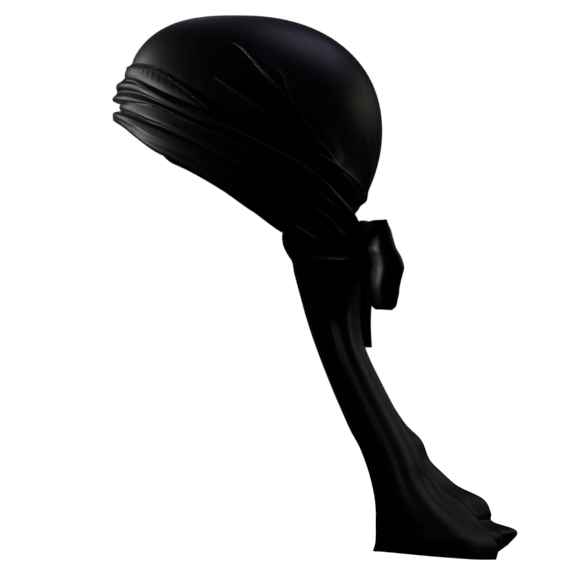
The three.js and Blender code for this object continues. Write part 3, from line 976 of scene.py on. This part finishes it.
@dataclass
class Straps:
    """The two straps that are wound round the head and cross on the right of the forehead."""

    columns: int = 352
    rows: int = 66
    half_turn: float = 176.5
    coarse_columns: int = 48  # the crossing keeps clear by two steps of the solids' grid
    lap: float = 8.0
    lines: int = 8
    cross_from: float = -52.0
    cross_to: float = -14.0
    cover_above: tuple[float, float] = (-9.0, -4.5)  # mm from the under strap's upper edge, for its rise
    cover_below: tuple[float, float] = (6.0, 11.0)  # mm from its lower edge where it comes down again
    right_shift: float = 2.0  # degrees by which the pleats on the right lie nearer the forehead
    plain_edges: tuple[float, float] = (0.05, 0.96)  # shares across between which the pleats show in full
    bundle: tuple[float, float] = (150.0, 175.0)  # turns over which the lower strap is drawn off the neck

    def turns(self) -> Array:
        """The columns' turns, evenly round the head."""
        return np.linspace(-self.half_turn, self.half_turn, self.columns + 1)

    def pleat(self, table: Table, place: Array, turn: Array) -> Array:
        """A pleat's height at a place across the strap."""
        front, ear, nape, knot = (table.read(name, place) for name in ("front", "ear", "nape", "knot"))
        return past_ear(turn, front, ear, nape) + knot * smooth(np.abs(turn), *self.bundle)

    def index_place(self, table: Table, index: Array) -> Array:
        """The place across the strap of a line's number, which may lie between two lines."""
        return np.interp(index, np.arange(self.lines), table.along)

    def high(self, index: Array, turn: Array) -> tuple[Array, Array]:
        """Depth and height of a line of the strap that runs high."""
        place = self.index_place(HIGH_PLEATS, index)
        return mix(edge("upper", turn), edge("middle", turn), place), self.pleat(HIGH_PLEATS, place, turn)

    def low(self, index: Array, turn: Array) -> tuple[Array, Array]:
        """Depth and height of a line of the strap that runs low."""
        place = self.index_place(LOW_PLEATS, index)
        return mix(edge("middle", turn), edge("lower", turn), place), self.pleat(LOW_PLEATS, place, turn)

    def over_line(self, index: Array, turn: Array) -> tuple[Array, Array]:
        """Depth and height of a line of the over strap, high on the left and low on the right."""
        share = left_share(turn)
        (left, left_height), (right, right_height) = self.high(index, turn), self.low(index, turn)
        return mix(right, left, share), mix(right_height, left_height, share)

    def lap_edge(self, turn: Array, way: int) -> Array:
        """The far edge of the under strap's lap, which narrows towards the nape."""
        narrow = 1 - 0.5 * smooth(np.abs(turn), 120, 170)
        return edge("middle", turn) + way * self.lap * narrow

    def under_line(self, index: Array, turn: Array) -> tuple[Array, Array]:
        """Depth and height of a line of the under strap: its lap is first on the left, last on the right.

        Its height dies away where the over strap lies on it at the crossing.
        """
        last = self.lines - 1
        depth_low, height_low = self.low(np.maximum(index - 1, 0), turn)
        into_lap = np.clip(1 - index, 0, 1)
        left = mix(depth_low, self.lap_edge(turn, -1), into_lap)
        left_height = height_low * (1 - into_lap)
        depth_high, height_high = self.high(np.minimum(index, last), turn)
        past_lap = np.clip(index - last, 0, 1)
        right = mix(depth_high, self.lap_edge(turn, 1), past_lap)
        right_height = height_high * (1 - np.clip(index - last + 1, 0, 1))
        share = left_share(turn)
        depth = mix(right, left, share)
        return depth, mix(right_height, left_height, share) * self.clear_of_crossing(turn, depth)

    def clear_of_crossing(self, turn: Array, depth: Array) -> Array:
        """0 where the over strap lies near the crossing or close to it, and 1 elsewhere."""
        step = 2 * self.half_turn / self.coarse_columns
        around = [turn + k * step for k in (-2, -1, 0, 1, 2)]
        shares = np.stack([left_share(at) for at in around])
        top = np.min([self.over_line(np.zeros_like(at), at)[0] for at in around], axis=0)
        bottom = np.max([self.over_line(np.full_like(at, self.lines - 1.0), at)[0] for at in around], axis=0)
        clear = smooth(np.maximum(top - depth, depth - bottom), 0.5, 3)
        apart = (shares.min(axis=0) > 0.999) | (shares.max(axis=0) < 0.001)
        return np.where(apart, 1.0, clear)

    def under_cover(self, turn: Array, depth: Array) -> Array:
        """How much of the under strap lies below a place, with soft edges."""
        top = self.under_line(np.zeros_like(turn), turn)[0]
        bottom = self.under_line(np.full_like(turn, float(self.lines)), turn)[0]
        above = smooth(depth - top, *self.cover_above)
        return above * (1 - smooth(depth - bottom, *self.cover_below))

    def fine(self, turn: Array, depth: Array, across: Array) -> Array:
        """The fine pleats and the roll of the hems, which leave the strap's edges alone."""
        shift = self.right_shift * smooth(-turn, 20, 60)
        creases = all_creases(STRAP_CREASES, np.abs(turn) + shift, depth)
        first, last = self.plain_edges
        return creases * smooth(across, 0, first) * (1 - smooth(across, last, 1))

    def seat(self, turn: Array, depth: Array, lifted: bool) -> Array:
        """The height of a strap's inner side, which is lifted where it lies on the other strap."""
        flat = np.full_like(depth, STRAP_SEAT)
        return flat + self.under_cover(turn, depth) * (STRAP + GAP) if lifted else flat

    def ground(self, line: Line, last: float, lifted: bool) -> Callable[[Array, Array], Array]:
        """Gives a function that reads a strap's outer height at a turn and a depth.

        Args:
            line: gives depth and height from a line's number and a turn.
            last: the number of the strap's last line.
            lifted: whether the strap rises over the under strap.

        Returns:
            The function, which finds the height between the strap's lines at each place.
        """
        index = np.linspace(0, last, self.rows + 1)[:, None]

        def height(turn: Array, depth: Array) -> Array:
            """The outer height at places on the strap."""
            depths, heights = line(index, turn.reshape(1, -1))
            share = np.broadcast_to(index / last, depths.shape)
            heights = heights + self.fine(np.broadcast_to(turn.reshape(1, -1), depths.shape), depths, share)
            found = [np.interp(d, ds, hs) for d, ds, hs in zip(depth.ravel(), depths.T, heights.T)]
            return self.seat(turn, depth, lifted) + STRAP + np.reshape(found, turn.shape)

        return height

    def piece(
        self, name: str, line: Line, last: float, lifted: bool, crests: Sequence[Crest]
    ) -> bpy.types.Object:
        """Builds a strap.

        Args:
            name: the piece's name.
            line: gives depth and height from a line's number and a turn.
            last: the number of the strap's last line.
            lifted: whether the strap rises over the under strap.
            crests: the sharp pleats on its left side.

        Returns:
            The piece.
        """
        across = np.linspace(0, 1, self.rows + 1)
        turn, index = np.meshgrid(self.turns(), across * last)
        depth, height = line(index, turn)
        seat = self.seat(turn, depth, lifted)
        share = index / last
        covered = 1.0 if lifted else self.clear_of_crossing(turn, depth)
        outer = HEAD.over(turn, depth, seat + STRAP + height + self.fine(turn, depth, share) * covered)
        inner = HEAD.over(turn, depth, seat)
        ground = self.ground(line, last, lifted)
        shells = [Shell(outer, inner, flat_places(outer)[..., ::-1])]
        shells.extend(crest.shell(ground) for crest in crests)
        made = shells_object(name, shells)
        soften_edges(made, 0.8, 3)
        return made

    def build(self, material: bpy.types.Material) -> None:
        """Builds the over strap and the under strap."""
        over = self.piece("over_strap_cloth", self.over_line, self.lines - 1.0, True, OVER_CRESTS)
        under = self.piece("under_strap_cloth", self.under_line, float(self.lines), False, UNDER_CRESTS)
        dress(over, material, ["strap_wrap_over"])
        dress(under, material, ["strap_wrap_under"])


@dataclass
class FrontBand:
    """The band sewn to the cap's front edge, with the overlock seam along its top."""

    columns: int = 300
    rows: int = 16
    half_turn: float = 75.0
    thickness: float = 1.3
    roll: float = 1.0
    pucker_mm: float = 6.5
    pucker_height: float = 0.25
    stitch_mm: float = 1.9
    stitch_reach: float = 2.4  # how far each way a thread runs across the seam
    stitch_slant: float = 1.3
    thread_radius: float = 0.33
    thread_steps: int = 8
    thread_sides: int = 6

    def strap_top(self, turn: Array, straps: Straps) -> Array:
        """The upper edge of whichever strap runs higher."""
        first = np.zeros_like(turn)
        return np.minimum(straps.over_line(first, turn)[0], straps.under_line(first, turn)[0])

    def place(self, turn: Array, across: Array, straps: Straps) -> tuple[Array, Array]:
        """Depth and outer height at a share across the band, from its seam (0) to the strap (1)."""
        depth = mix(edge("stitch", turn), self.strap_top(turn, straps) - GAP, across)
        puckers = 0.5 + 0.5 * np.cos(2 * math.pi * turn * HEAD.mm_per_degree / self.pucker_mm)
        sewn = self.pucker_height * puckers * bell(across, 0.5)
        return depth, STRAP_SEAT + self.thickness + self.roll * np.sin(math.pi * across) - sewn

    def build(self, material: bpy.types.Material, thread: bpy.types.Material, straps: Straps) -> None:
        """Builds the band and the stitches along it."""
        turn, across = np.meshgrid(
            np.linspace(-self.half_turn, self.half_turn, self.columns + 1), np.linspace(0, 1, self.rows + 1)
        )
        depth, height = self.place(turn, across, straps)
        outer = HEAD.over(turn, depth, height)
        inner = HEAD.over(turn, depth, STRAP_SEAT)
        band = shells_object("front_band_cloth", [Shell(outer, inner, flat_places(outer)[..., ::-1])])
        soften_edges(band, 0.35)
        stitches = self.overlock(straps)
        dress(stitches, thread)
        dress(band, material, ["front_band"])

    def overlock(self, straps: Straps) -> bpy.types.Object:
        """The overlock seam: slanting threads across the band's top edge, each a bowed tube on the cloth.

        A thread's middle line runs from the cap over the edge to the band, and its height is that of the cap
        or of the band, whichever is under it, plus its own radius.
        """
        length = 2 * self.half_turn * HEAD.mm_per_degree
        count = int(length / self.stitch_mm)
        middle = np.linspace(-self.half_turn + 2, self.half_turn - 2, count)
        step = np.linspace(-1, 1, self.thread_steps + 1)
        turn = middle[:, None] + step * self.stitch_slant / HEAD.mm_per_degree
        span = self.strap_top(turn, straps) - edge("stitch", turn)
        reach = np.minimum(self.stitch_reach, 0.75 * span)
        depth = edge("stitch", turn) + step * reach
        onto = smooth(step, -0.3, 0.15)
        on_cap = CLOTH + 0.1
        on_band = self.place(turn, np.clip(step * reach / span, 0, 1), straps)[1]
        tuck = self.thread_radius * (1.1 - 1.6 * step**6)
        line = HEAD.over(turn, depth, mix(on_cap, on_band, onto) + tuck)
        return tubes("overlock_stitches", line, self.thread_radius, self.thread_sides)


def tubes(name: str, lines: Array, radius: float, sides: int, tip: float = 0.35) -> bpy.types.Object:
    """One mesh of closed round tubes along many lines.

    Args:
        name: the piece's name.
        lines: points, with a line in each row of the first axis.
        radius: mm.
        sides: how many faces go round a tube.
        tip: the radius at its two ends, as a share of the rest.

    Returns:
        The object. A ring's points are radius x (cos a, sin a) across the line, and its ends draw in to caps.
    """
    count, steps = lines.shape[:2]
    along = unit(np.gradient(lines, axis=1))
    aside = unit(np.cross(along, np.array([0.0, 0.0, 1.0])))
    up = np.cross(aside, along)
    angle = np.linspace(0, 2 * math.pi, sides, endpoint=False)
    taper = np.ones(steps)
    taper[[0, -1]] = tip
    ring = radius * taper[None, :, None, None] * (
        np.cos(angle)[:, None] * aside[:, :, None] + np.sin(angle)[:, None] * up[:, :, None]
    )
    points = lines[:, :, None] + ring
    number = np.arange(count * steps * sides).reshape(count, steps, sides)
    around = np.concatenate([number, number[:, :, :1]], axis=2)
    walls = np.stack(
        [around[:, :-1, :-1], around[:, 1:, :-1], around[:, 1:, 1:], around[:, :-1, 1:]], axis=-1
    ).reshape(-1, 4)
    caps = np.concatenate([number[:, 0, ::-1], number[:, -1]]).reshape(-1, sides)
    both = [np.stack([group, group], -1) for group in (walls, caps)]
    flat = np.stack([number.ravel() % sides, number.ravel() // sides], -1).astype(float)
    listed = points.reshape(-1, 3)
    return mesh_object(name, listed, facing_out(listed, both), flat)


@dataclass(frozen=True)
class Ridge:
    """A narrow flute of the tail, which grows or dies away between two depths as the cloth falls."""

    place: float  # across the tail, from the left edge (1) to the right edge (-1)
    width: float
    height: float
    depths: tuple[float, float]
    power: float = 1.5
    wander: float = 1.0
    grows: bool = True

    def heights(self, across: Array, depth: Array, wander: Array) -> Array:
        """The ridge's height: a bell across it, whose middle wanders with the depth."""
        grown = smooth(depth, *self.depths)
        shown = grown if self.grows else 1 - grown
        return self.height * bell(across - self.place + self.wander * wander, self.width, self.power) * shown


@dataclass
class Tail:
    """The long tail: it lies on the nape, leaves the neck under the straps and hangs in flutes."""

    columns: int = 220
    rows: int = 200
    seat_share: float = 4 / 17
    half_turn: float = 70.0
    settle_back: float = 9.5
    free_start: float = 1.5
    settle_side: float = 24.0
    side_rise: float = 11.0
    flutes: float = 3.5
    calm_flutes: float = 0.25  # how deep the flutes on the left are beside those on the right
    calm_across: tuple[float, float] = (0.12, 0.4)  # places across between which they grow shallow
    ripple: tuple[float, float] = (0.3, 0.12)  # mm, on the right and on the left
    ripples: float = 6.1
    flat_crest: float = 1.12
    right_edge_back: float = 7.0
    hem_length: float = 240.0  # the tail's length in mm, as its bottom hem counts it
    hem_width: float = 7.0
    hem_thickness: float = 0.7
    hem_start: tuple[float, float] = (0.28, 0.34)  # shares down the tail where the hems begin
    ridges: tuple[Ridge, ...] = (
        Ridge(0.2, 0.028, 1.5, (235, 262), wander=0.6),
        Ridge(0.86, 0.03, 1.1, (262, 300), grows=False),
        Ridge(0.72, 0.016, 0.8, (215, 245), power=1.4, grows=False),
        Ridge(-0.28, 0.03, 1.2, (225, 270)),
    )
    sections: Table = field(
        default_factory=lambda: Table(
            "depth edge left right width flute",
            (
                (160, 40, 86, 86, 58, 0),
                (188, 44.5, 96, 96, 55, 1),
                (212, 50.5, 97, 96.5, 54, 2),
                (236, 57.5, 97, 96, 55, 3),
                (257, 64.5, 100.5, 100, 57, 3),
                (288, 76.5, 115, 114, 62, 2.6),
                (318, 89.5, 131, 133, 69, 2.6),
                (331, 96.5, 138, 146, 72, 2.6),
                (347, 102.5, 145, 153, 76, 2.8),
                (358, 105.5, 149, 164, 78, 3),
                (368, 107.5, 155, 176, 81, 3),
                (378, 108.5, 165, 196, 83, 3),
                (389, 108.5, 179, 202, 85, 3),
                (396, 108.5, 189, 203, 86, 3),
                (403, 108, 198, 222, 88, 3),
                (410, 106, 202, 219, 89, 3),
                (420, 104.5, 200, 206, 90, 3),
            ),
        )
    )

    def hanging(self, across: Array, depth: Array) -> Array:
        """A point of a level section that hangs free, from the left edge (1) to the right edge (-1).

        The section is half a superellipse between its edges and its crest, whose width and depth both shrink
        by a wave of the place across it. Finer flutes ride on the wave and wander with the depth.
        """
        names = ("edge", "left", "right", "width", "flute")
        front, left, right, width, flute = (self.sections.read(name, depth) for name in names)
        sideways = np.sin(across * math.pi / 2)
        backward = np.sqrt(np.maximum(0, 1 - sideways**2))
        crest = mix(right, left, smooth(across, -0.35, 0.2))
        flute = flute * mix(1, self.calm_flutes, smooth(across, *self.calm_across))
        wave = flute * (np.cos(math.pi * 2 * self.flutes * across) - 1) + self.fine(across, depth)
        x = (width + wave) * sideways
        edge_back = self.right_edge_back * smooth(-across, 0.4, 1) * smooth(depth, 300, 380)
        y = mix(front + edge_back, crest, np.minimum(1, self.flat_crest * backward**0.8))
        y = y + wave * backward
        return np.stack([x, y, -depth], axis=-1)

    def fine(self, across: Array, depth: Array) -> Array:
        """Finer flutes between the main ones, which wander sideways as the cloth falls."""
        wander = 0.012 * np.sin(depth / 31) + 0.008 * np.sin(depth / 13 + 3 * across)
        grown = smooth(depth, 190, 240)
        height = mix(*self.ripple, smooth(across, *self.calm_across))
        ripple = height * np.cos(math.pi * 2 * self.ripples * (across + wander) + 0.8)
        ridges = sum(ridge.heights(across, depth, wander) for ridge in self.ridges)
        return grown * ripple + smooth(depth, 184, 196) * ridges

    def surface(self, s: Array, v: Array) -> Array:
        """The middle of the cloth at shares across and down it."""
        across = 1 - 2 * s
        turn = 180 - across * self.half_turn
        from_front = np.minimum(turn, 360 - turn)
        strap_edge = edge("lower", from_front)
        settled = strap_edge + mix(self.settle_back, self.settle_side, across**2)
        bottom = self.sections.along[-1] - self.side_rise * across**2
        on_nape = mix(edge("rim", from_front) + 2 * GAP, settled, v / self.seat_share)
        share = np.maximum(0, (v - self.seat_share) / (1 - self.seat_share))
        below = mix(settled, bottom, share**0.8)
        depth = np.where(v < self.seat_share, on_nape, below)
        seat = HEAD.over(turn, np.minimum(depth, settled), np.full_like(depth, CLOTH / 2 + 0.1))
        seat[..., 2] = -depth
        past = depth - strap_edge - self.free_start
        whole = settled - strap_edge - self.free_start
        free = smooth(past / whole, 0, 1)[..., None]
        return mix(seat, self.hanging(across, depth), free)

    def build(self, material: bpy.types.Material) -> bpy.types.Object:
        """Builds the tail, thicker along its side hems and its bottom hem."""
        across = np.linspace(0, 1, self.columns + 1)
        down = np.linspace(0, 1, self.rows + 1)
        s, v = np.meshgrid(across, down)
        from_side = np.minimum(s, 1 - s) * 2 * self.half_turn * HEAD.mm_per_degree
        from_bottom = (1 - v) * self.hem_length
        hem = 1 - smooth(np.minimum(from_side, from_bottom), self.hem_width - 1, self.hem_width)
        thickness = CLOTH + self.hem_thickness * hem * smooth(v, *self.hem_start)
        outer, inner = sheet_sides(self.surface, across, down, thickness)
        piece = shells_object("tail_cloth", [Shell(outer, inner, flat_places((outer + inner) / 2))])
        soften_edges(piece, 0.5)
        return dress(piece, material, ["tail"])


@dataclass(frozen=True)
class LoopSize:
    """A bow loop in mm: its reach, half depth, half height, droop and sweep back."""

    reach: float
    deep: float
    high: float
    droop: float
    sweep: float


@dataclass
class Bow:
    """The knot at the nape, the bow's two loops and the straps' two loose ends."""

    y: float = 99.9
    depth: float = 170.0
    half_length: float = 13.0
    half_deep: float = 10.5
    half_high: float = 11.0
    knot_pleat: float = 0.8
    knot_fine: float = 0.035  # the fine pleats' height as a share of the knot's radius
    knot_tilt: float = 30.0
    knot_grid: tuple[int, int] = (64, 120)  # steps along it and round it
    loop_wall: float = 2.0
    loop_pinch: float = 7.5
    loop_pleat: float = 1.6
    loop_fold: float = 0.5
    loop_fine: float = 0.45
    loop_soft: float = 0.5
    loop_bluntness: float = 0.6  # 1 is an ellipse in plan, and less has a flatter end
    loop_way: tuple[float, float] = (0.07, 0.93)  # shares of the way round where its cloth starts and ends
    loop_root: float = 0.045  # the share of its reach at which its cloth starts, beside the knot
    loop_rounding: float = 0.16  # how much less far it reaches at its upper and lower edges
    loop_grid: tuple[int, int] = (141, 61)  # points round it and up it
    loop_hem: float = 0.35
    loop_outline: Table = field(
        default_factory=lambda: Table(
            "height wide shift",
            (
                (-1, 0.35, 0),
                (-0.92, 0.66, 0),
                (-0.75, 0.85, -0.8),
                (-0.4, 0.98, 0),
                (0, 1, 0),
                (0.55, 0.78, -3),
                (0.77, 0.62, -4),
                (1, 0.2, -2.5),
            ),
        )
    )
    end_wall: float = 1.6
    end_grid: tuple[int, int] = (41, 121)  # points across it and down it
    end_sections: Table = field(
        default_factory=lambda: Table(
            "down x y width turn curl",
            (
                (0, 7, 96, 19, 66, 2.5),
                (10, 9, 99.5, 20, 62, 4),
                (24, 12, 103.5, 21, 62, 4.5),
                (40, 12, 101, 14, 45, 3.5),
                (58, 13, 99.5, 12, 60, 3.5),
                (76, 14, 101.5, 13, 35, 2),
            ),
        )
    )

    def knot(self) -> bpy.types.Object:
        """The knot: a barrel ringed by the pleats of the strap that binds it.

        Its radius is the fourth power barrel (1 - a^4)^(1/2) along its axis, times 1 + a cosine of the place
        along it that makes the main pleats, times fine slanting pleats that wind round it.
        """
        rows, columns = self.knot_grid
        angle = np.linspace(0, math.pi, rows + 1)[:, None]
        along = -np.cos(angle)
        around = np.linspace(0, 2 * math.pi, columns, endpoint=False)[None, :]
        barrel = np.sqrt(np.maximum(0, 1 - along**4))
        main = 1 + self.knot_pleat / self.half_deep * np.cos(along * math.pi * 3)
        fine = 1 + self.knot_fine * np.cos(along * 21 + 1.5 * np.sin(around)) * barrel
        radius = barrel * main * fine
        x = np.broadcast_to(along * self.half_length, radius.shape)
        deep, high = radius * np.cos(around) * self.half_deep, radius * np.sin(around) * self.half_high
        lean = math.radians(self.knot_tilt)
        y = self.y + deep * math.cos(lean) + high * math.sin(lean)
        z = -self.depth - deep * math.sin(lean) + high * math.cos(lean)
        points = np.stack([x, y, z], axis=-1)
        number = np.vstack(
            [
                np.zeros((1, columns), int),
                np.arange((rows - 1) * columns).reshape(rows - 1, columns) + 1,
                np.full((1, columns), (rows - 1) * columns + 1),
            ]
        )
        number = np.hstack([number, number[:, :1]])
        cells = np.stack([number[:-1, :-1], number[1:, :-1], number[1:, 1:], number[:-1, 1:]], -1)
        triangles = np.concatenate([cells[0][:, [0, 1, 2]], cells[-1][:, [0, 1, 3]]])
        quads = cells[1:-1].reshape(-1, 4)
        listed = np.vstack([points[0, :1], points[1:-1].reshape(-1, 3), points[-1, :1]])
        flat = listed[:, [0, 2]]
        groups = [np.stack([group, group], -1) for group in (quads, triangles)]
        return mesh_object("knot_cloth", listed, facing_out(listed, groups), flat)

    def loop(self, name: str, side: int, size: LoopSize) -> bpy.types.Object:
        """A bow loop: a strap that leaves the knot, widens, turns back at its end and returns to the knot.

        Args:
            name: the piece's name.
            side: 1 on the left, -1 on the right.
            size: its sizes.

        Returns:
            The piece.
        """

        def surface(s: Array, v: Array) -> Array:
            """The middle of the cloth: a loop in plan, whose height opens and droops away from the knot."""
            turn = mix(*self.loop_way, s) * math.pi * 2
            out = (1 - np.cos(turn)) / 2
            opened = np.sin(turn / 2)
            full = smooth(opened, 0.2, 0.88)
            height = 1 - 2 * v
            wide = self.loop_outline.read("wide", height)
            shift = self.loop_outline.read("shift", height)
            pleats = self.loop_pleat * np.cos(height * math.pi * 2.5) * (1 - 0.5 * opened)
            fine = self.loop_fine * np.cos(height * math.pi * 7 + 2 * out) * (1 - 0.8 * opened)
            soft = self.loop_soft * np.sin(height * 4 + 5 * s) * opened
            soft = soft + self.loop_fold * np.cos(turn * 5 + 1.6 * height) * opened**2
            rounding = 1 - self.loop_rounding * height**2
            x = self.half_length + GAP + size.reach * (out - self.loop_root) * rounding
            swept = size.sweep * opened**2 * (1 - 0.1 * height**2) + shift * full
            plan = np.sign(np.sin(turn)) * np.abs(np.sin(turn)) ** self.loop_bluntness
            y = self.y + swept + size.deep * plan * opened * wide + pleats + fine + soft
            z = height * mix(self.loop_pinch, size.high, full) - self.depth - size.droop * full
            return np.stack([side * x, y, z], axis=-1)

        across, down = (np.linspace(0, 1, count) for count in self.loop_grid)
        hem = 1 - smooth(np.minimum(down, 1 - down), 0.04, 0.07)[:, None]
        thickness = self.loop_wall + self.loop_hem * hem * np.ones((1, len(across)))
        outer, inner = sheet_sides(surface, across, down, thickness)
        piece = shells_object(name, [Shell(outer, inner, flat_places((outer + inner) / 2)[..., ::-1])])
        soften_edges(piece, 0.6)
        return piece

    def end(self, name: str, side: int, length: float, out: float, lift: float) -> bpy.types.Object:
        """A loose end of a strap: a curled strip that hangs below the knot and twists.

        Args:
            name: the piece's name.
            side: 1 on the left, -1 on the right.
            length: its length as a share of the table's.
            out: how far out it is moved, in mm.
            lift: how much higher it starts, in mm.

        Returns:
            The piece.
        """
        lean = math.radians(self.knot_tilt)
        reach = math.hypot(self.half_deep * math.sin(lean), self.half_high * math.cos(lean))
        top = self.depth + reach - lift
        span = self.end_sections.along[-1]

        def surface(s: Array, v: Array) -> Array:
            """The middle of the strip: an arc across, turned and moved as the table says."""
            down = np.clip(v, 0, 1) * span
            names = ("x", "y", "width", "turn", "curl")
            aside, back, width, degrees, arc = (self.end_sections.read(name, down) for name in names)
            across = 2 * s - 1
            turn = np.radians(degrees)
            wide = across * width / 2
            pleats = 0.35 * np.cos(across * math.pi * 3 + down / 11) * smooth(down, 0, 10)
            curl = arc * (0.5 - across**2) + pleats
            x = aside + out + wide * np.cos(turn) + curl * np.sin(turn)
            y = back + wide * np.sin(turn) - curl * np.cos(turn)
            return np.stack([side * x, y, -top - v * span * length], axis=-1)

        across, down = (np.linspace(0, 1, count) for count in self.end_grid)
        outer, inner = sheet_sides(surface, across, down, self.end_wall)
        piece = shells_object(name, [Shell(outer, inner, flat_places((outer + inner) / 2))])
        soften_edges(piece, 0.5)
        return piece

    def build(self, material: bpy.types.Material) -> None:
        """Builds the knot, the loops and the ends."""
        dress(self.knot(), material, ["knot"])
        loops = (
            ("left", 1, LoopSize(58, 13, 34, 23, 20), 0.0055),
            ("right", -1, LoopSize(54, 12, 31, 19, 16), 0.0047),
        )
        for word, side, size, area in loops:
            loop = self.loop(f"bow_loop_{word}_cloth", side, size)
            dress(loop, material, [f"bow_loop_{word}"])
        ends = (("left", 1, 1.0, 0.0, 0.0, 0.08), ("right", -1, 0.86, 2.0, 0.9, 0.07))
        for word, side, length, out, lift, flat_length in ends:
            end = self.end(f"strap_end_{word}_cloth", side, length, out, lift)
            dress(end, material, [f"strap_end_{word}"])


@dataclass(frozen=True)
class Lamp:
    """A soft box: where it stands and what it faces, in metres, its size, power, colour and spread."""

    name: str
    place: tuple[float, float, float]
    aim: tuple[float, float, float]
    size: tuple[float, float]
    power: float
    colour: str = "#ffffff"
    spread: float = 180.0

    def build(self) -> None:
        """Adds the lamp."""
        data = bpy.data.lights.new(self.name, "AREA")
        data.shape = "RECTANGLE"
        data.size, data.size_y = self.size
        data.energy = self.power
        data.spread = math.radians(self.spread)
        data.color = linear(self.colour)[:3]
        lamp = bpy.data.objects.new(self.name, data)
        lamp.location = self.place
        aim = Vector(self.aim) - Vector(self.place)
        lamp.rotation_euler = aim.to_track_quat("-Z", "Y").to_euler()
        bpy.context.scene.collection.objects.link(lamp)


@dataclass
class Studio:
    """The white studio: a pale floor, a white surround, six lamps and the camera.

    No lamp is on the camera's side of the head, so the cloth glows where it turns away. The front box is
    before the head, the upper one above and behind it, the top one above its far side and the back one
    behind it. The two strips send narrow light from before the head and from behind it.
    """

    view_width: float = 446.9  # mm that the picture spans at the middle of the head
    centre_y: float = 40.4
    centre_depth: float = 209.6
    distance: float = 2500.0
    sensor: float = 36.0
    floor_radius: float = 3.0
    floor_corners: int = 96
    lamps: tuple[Lamp, ...] = (
        Lamp("front_soft_box", (-0.75, -1.4, 0.4), (0.0, -0.05, -0.04), (0.6, 0.8), 9.0),
        Lamp("front_strip", (-0.02, -1.6, -0.02), (0.0, 0.0, -0.02), (0.25, 0.4), 0.3, spread=22.0),
        Lamp("upper_soft_box", (-0.4, 0.75, 1.3), (0.0, 0.02, -0.1), (1.0, 1.0), 4.6, "#d6daff"),
        Lamp("top_soft_box", (-1.0, 0.0, 1.2), (0.0, 0.02, -0.03), (0.8, 0.8), 0.25, "#c9cfff"),
        Lamp("back_soft_box", (-0.9, 1.3, 0.4), (0.0, 0.1, -0.05), (0.6, 0.6), 0.7, "#fff4e2"),
        Lamp("rear_strip", (-0.35, 1.5, 0.25), (0.0, 0.09, -0.15), (0.5, 0.4), 0.025, "#fff4e2", spread=16.0),
    )

    def camera(self) -> None:
        """Adds the camera: level, on the left, with the lens that makes the picture span view_width."""
        data = bpy.data.cameras.new("camera")
        data.sensor_width = self.sensor
        data.lens = self.sensor * self.distance / self.view_width
        data.clip_end = 50.0
        camera = bpy.data.objects.new("camera", data)
        camera.location = Vector((self.distance, self.centre_y, -self.centre_depth)) * MM
        camera.rotation_euler = (math.pi / 2, 0.0, math.pi / 2)
        bpy.context.scene.collection.objects.link(camera)
        bpy.context.scene.camera = camera

    def floor(self) -> None:
        """Adds the floor, a round sheet of white paper just under the tail, lit evenly by its own glow."""
        low = CAD_BOX[0].z
        angle = np.linspace(0, 2 * math.pi, self.floor_corners, endpoint=False)
        x, y = self.floor_radius * np.cos(angle), self.floor_radius * np.sin(angle)
        mesh = bpy.data.meshes.new("floor")
        corners = np.stack([x, y, np.full_like(x, low)], -1)
        mesh.from_pydata(corners.tolist(), [], [list(range(self.floor_corners))])
        paper = bpy.data.materials.new("matte_white_paper")
        paper.use_nodes = True
        shader = paper.node_tree.nodes["Principled BSDF"]
        shader.inputs["Base Color"].default_value = linear("#f2f2f2")
        shader.inputs["Roughness"].default_value = 0.9
        shader.inputs["Emission Color"].default_value = (1, 1, 1, 1)
        shader.inputs["Emission Strength"].default_value = 1.0
        mesh.materials.append(paper)
        floor = bpy.data.objects.new("floor", mesh)
        floor.visible_diffuse = False
        floor.visible_glossy = False
        bpy.context.scene.collection.objects.link(floor)

    def surround(self) -> None:
        """Sets a white surround for the eye that lights the cloth only faintly."""
        world = bpy.data.worlds.new("studio")
        bpy.context.scene.world = world
        world.use_nodes = True
        tree = world.node_tree
        shown = add_node(tree, "Background", {"Color": (1, 1, 1, 1), "Strength": 1.0})
        fill = add_node(tree, "Background", {"Color": linear("#cfd6f0"), "Strength": 0.015})
        eye = add_node(tree, "LightPath", {}).outputs["Is Camera Ray"]
        both = add_node(tree, "MixShader", {0: eye, 1: fill.outputs[0], 2: shown.outputs[0]})
        tree.links.new(both.outputs[0], tree.nodes["World Output"].inputs["Surface"])

    def build(self) -> None:
        """Builds the studio."""
        self.camera()
        self.floor()
        self.surround()
        for lamp in self.lamps:
            lamp.build()
        bpy.context.scene.view_settings.view_transform = "Standard"


def main() -> None:
    """Builds the durag from the cap outwards, then the studio."""
    logging.basicConfig(level=logging.INFO, format="%(message)s")
    cap_satin = SilkySatin("black_silky_satin", "#040405", "#08080b", 0.42, 0.35).build()
    strap_satin = SilkySatin("black_silky_satin_doubled", "#040406", "#09090c", 0.4, 0.35).build()
    thread = PolyesterThread().build()
    straps = Straps()
    Cap().build(cap_satin)
    FrontBand().build(cap_satin, thread, straps)
    straps.build(strap_satin)
    Tail().build(cap_satin)
    Bow().build(strap_satin)
    Studio().build()
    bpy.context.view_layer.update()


if __name__ == "__main__":
    main()
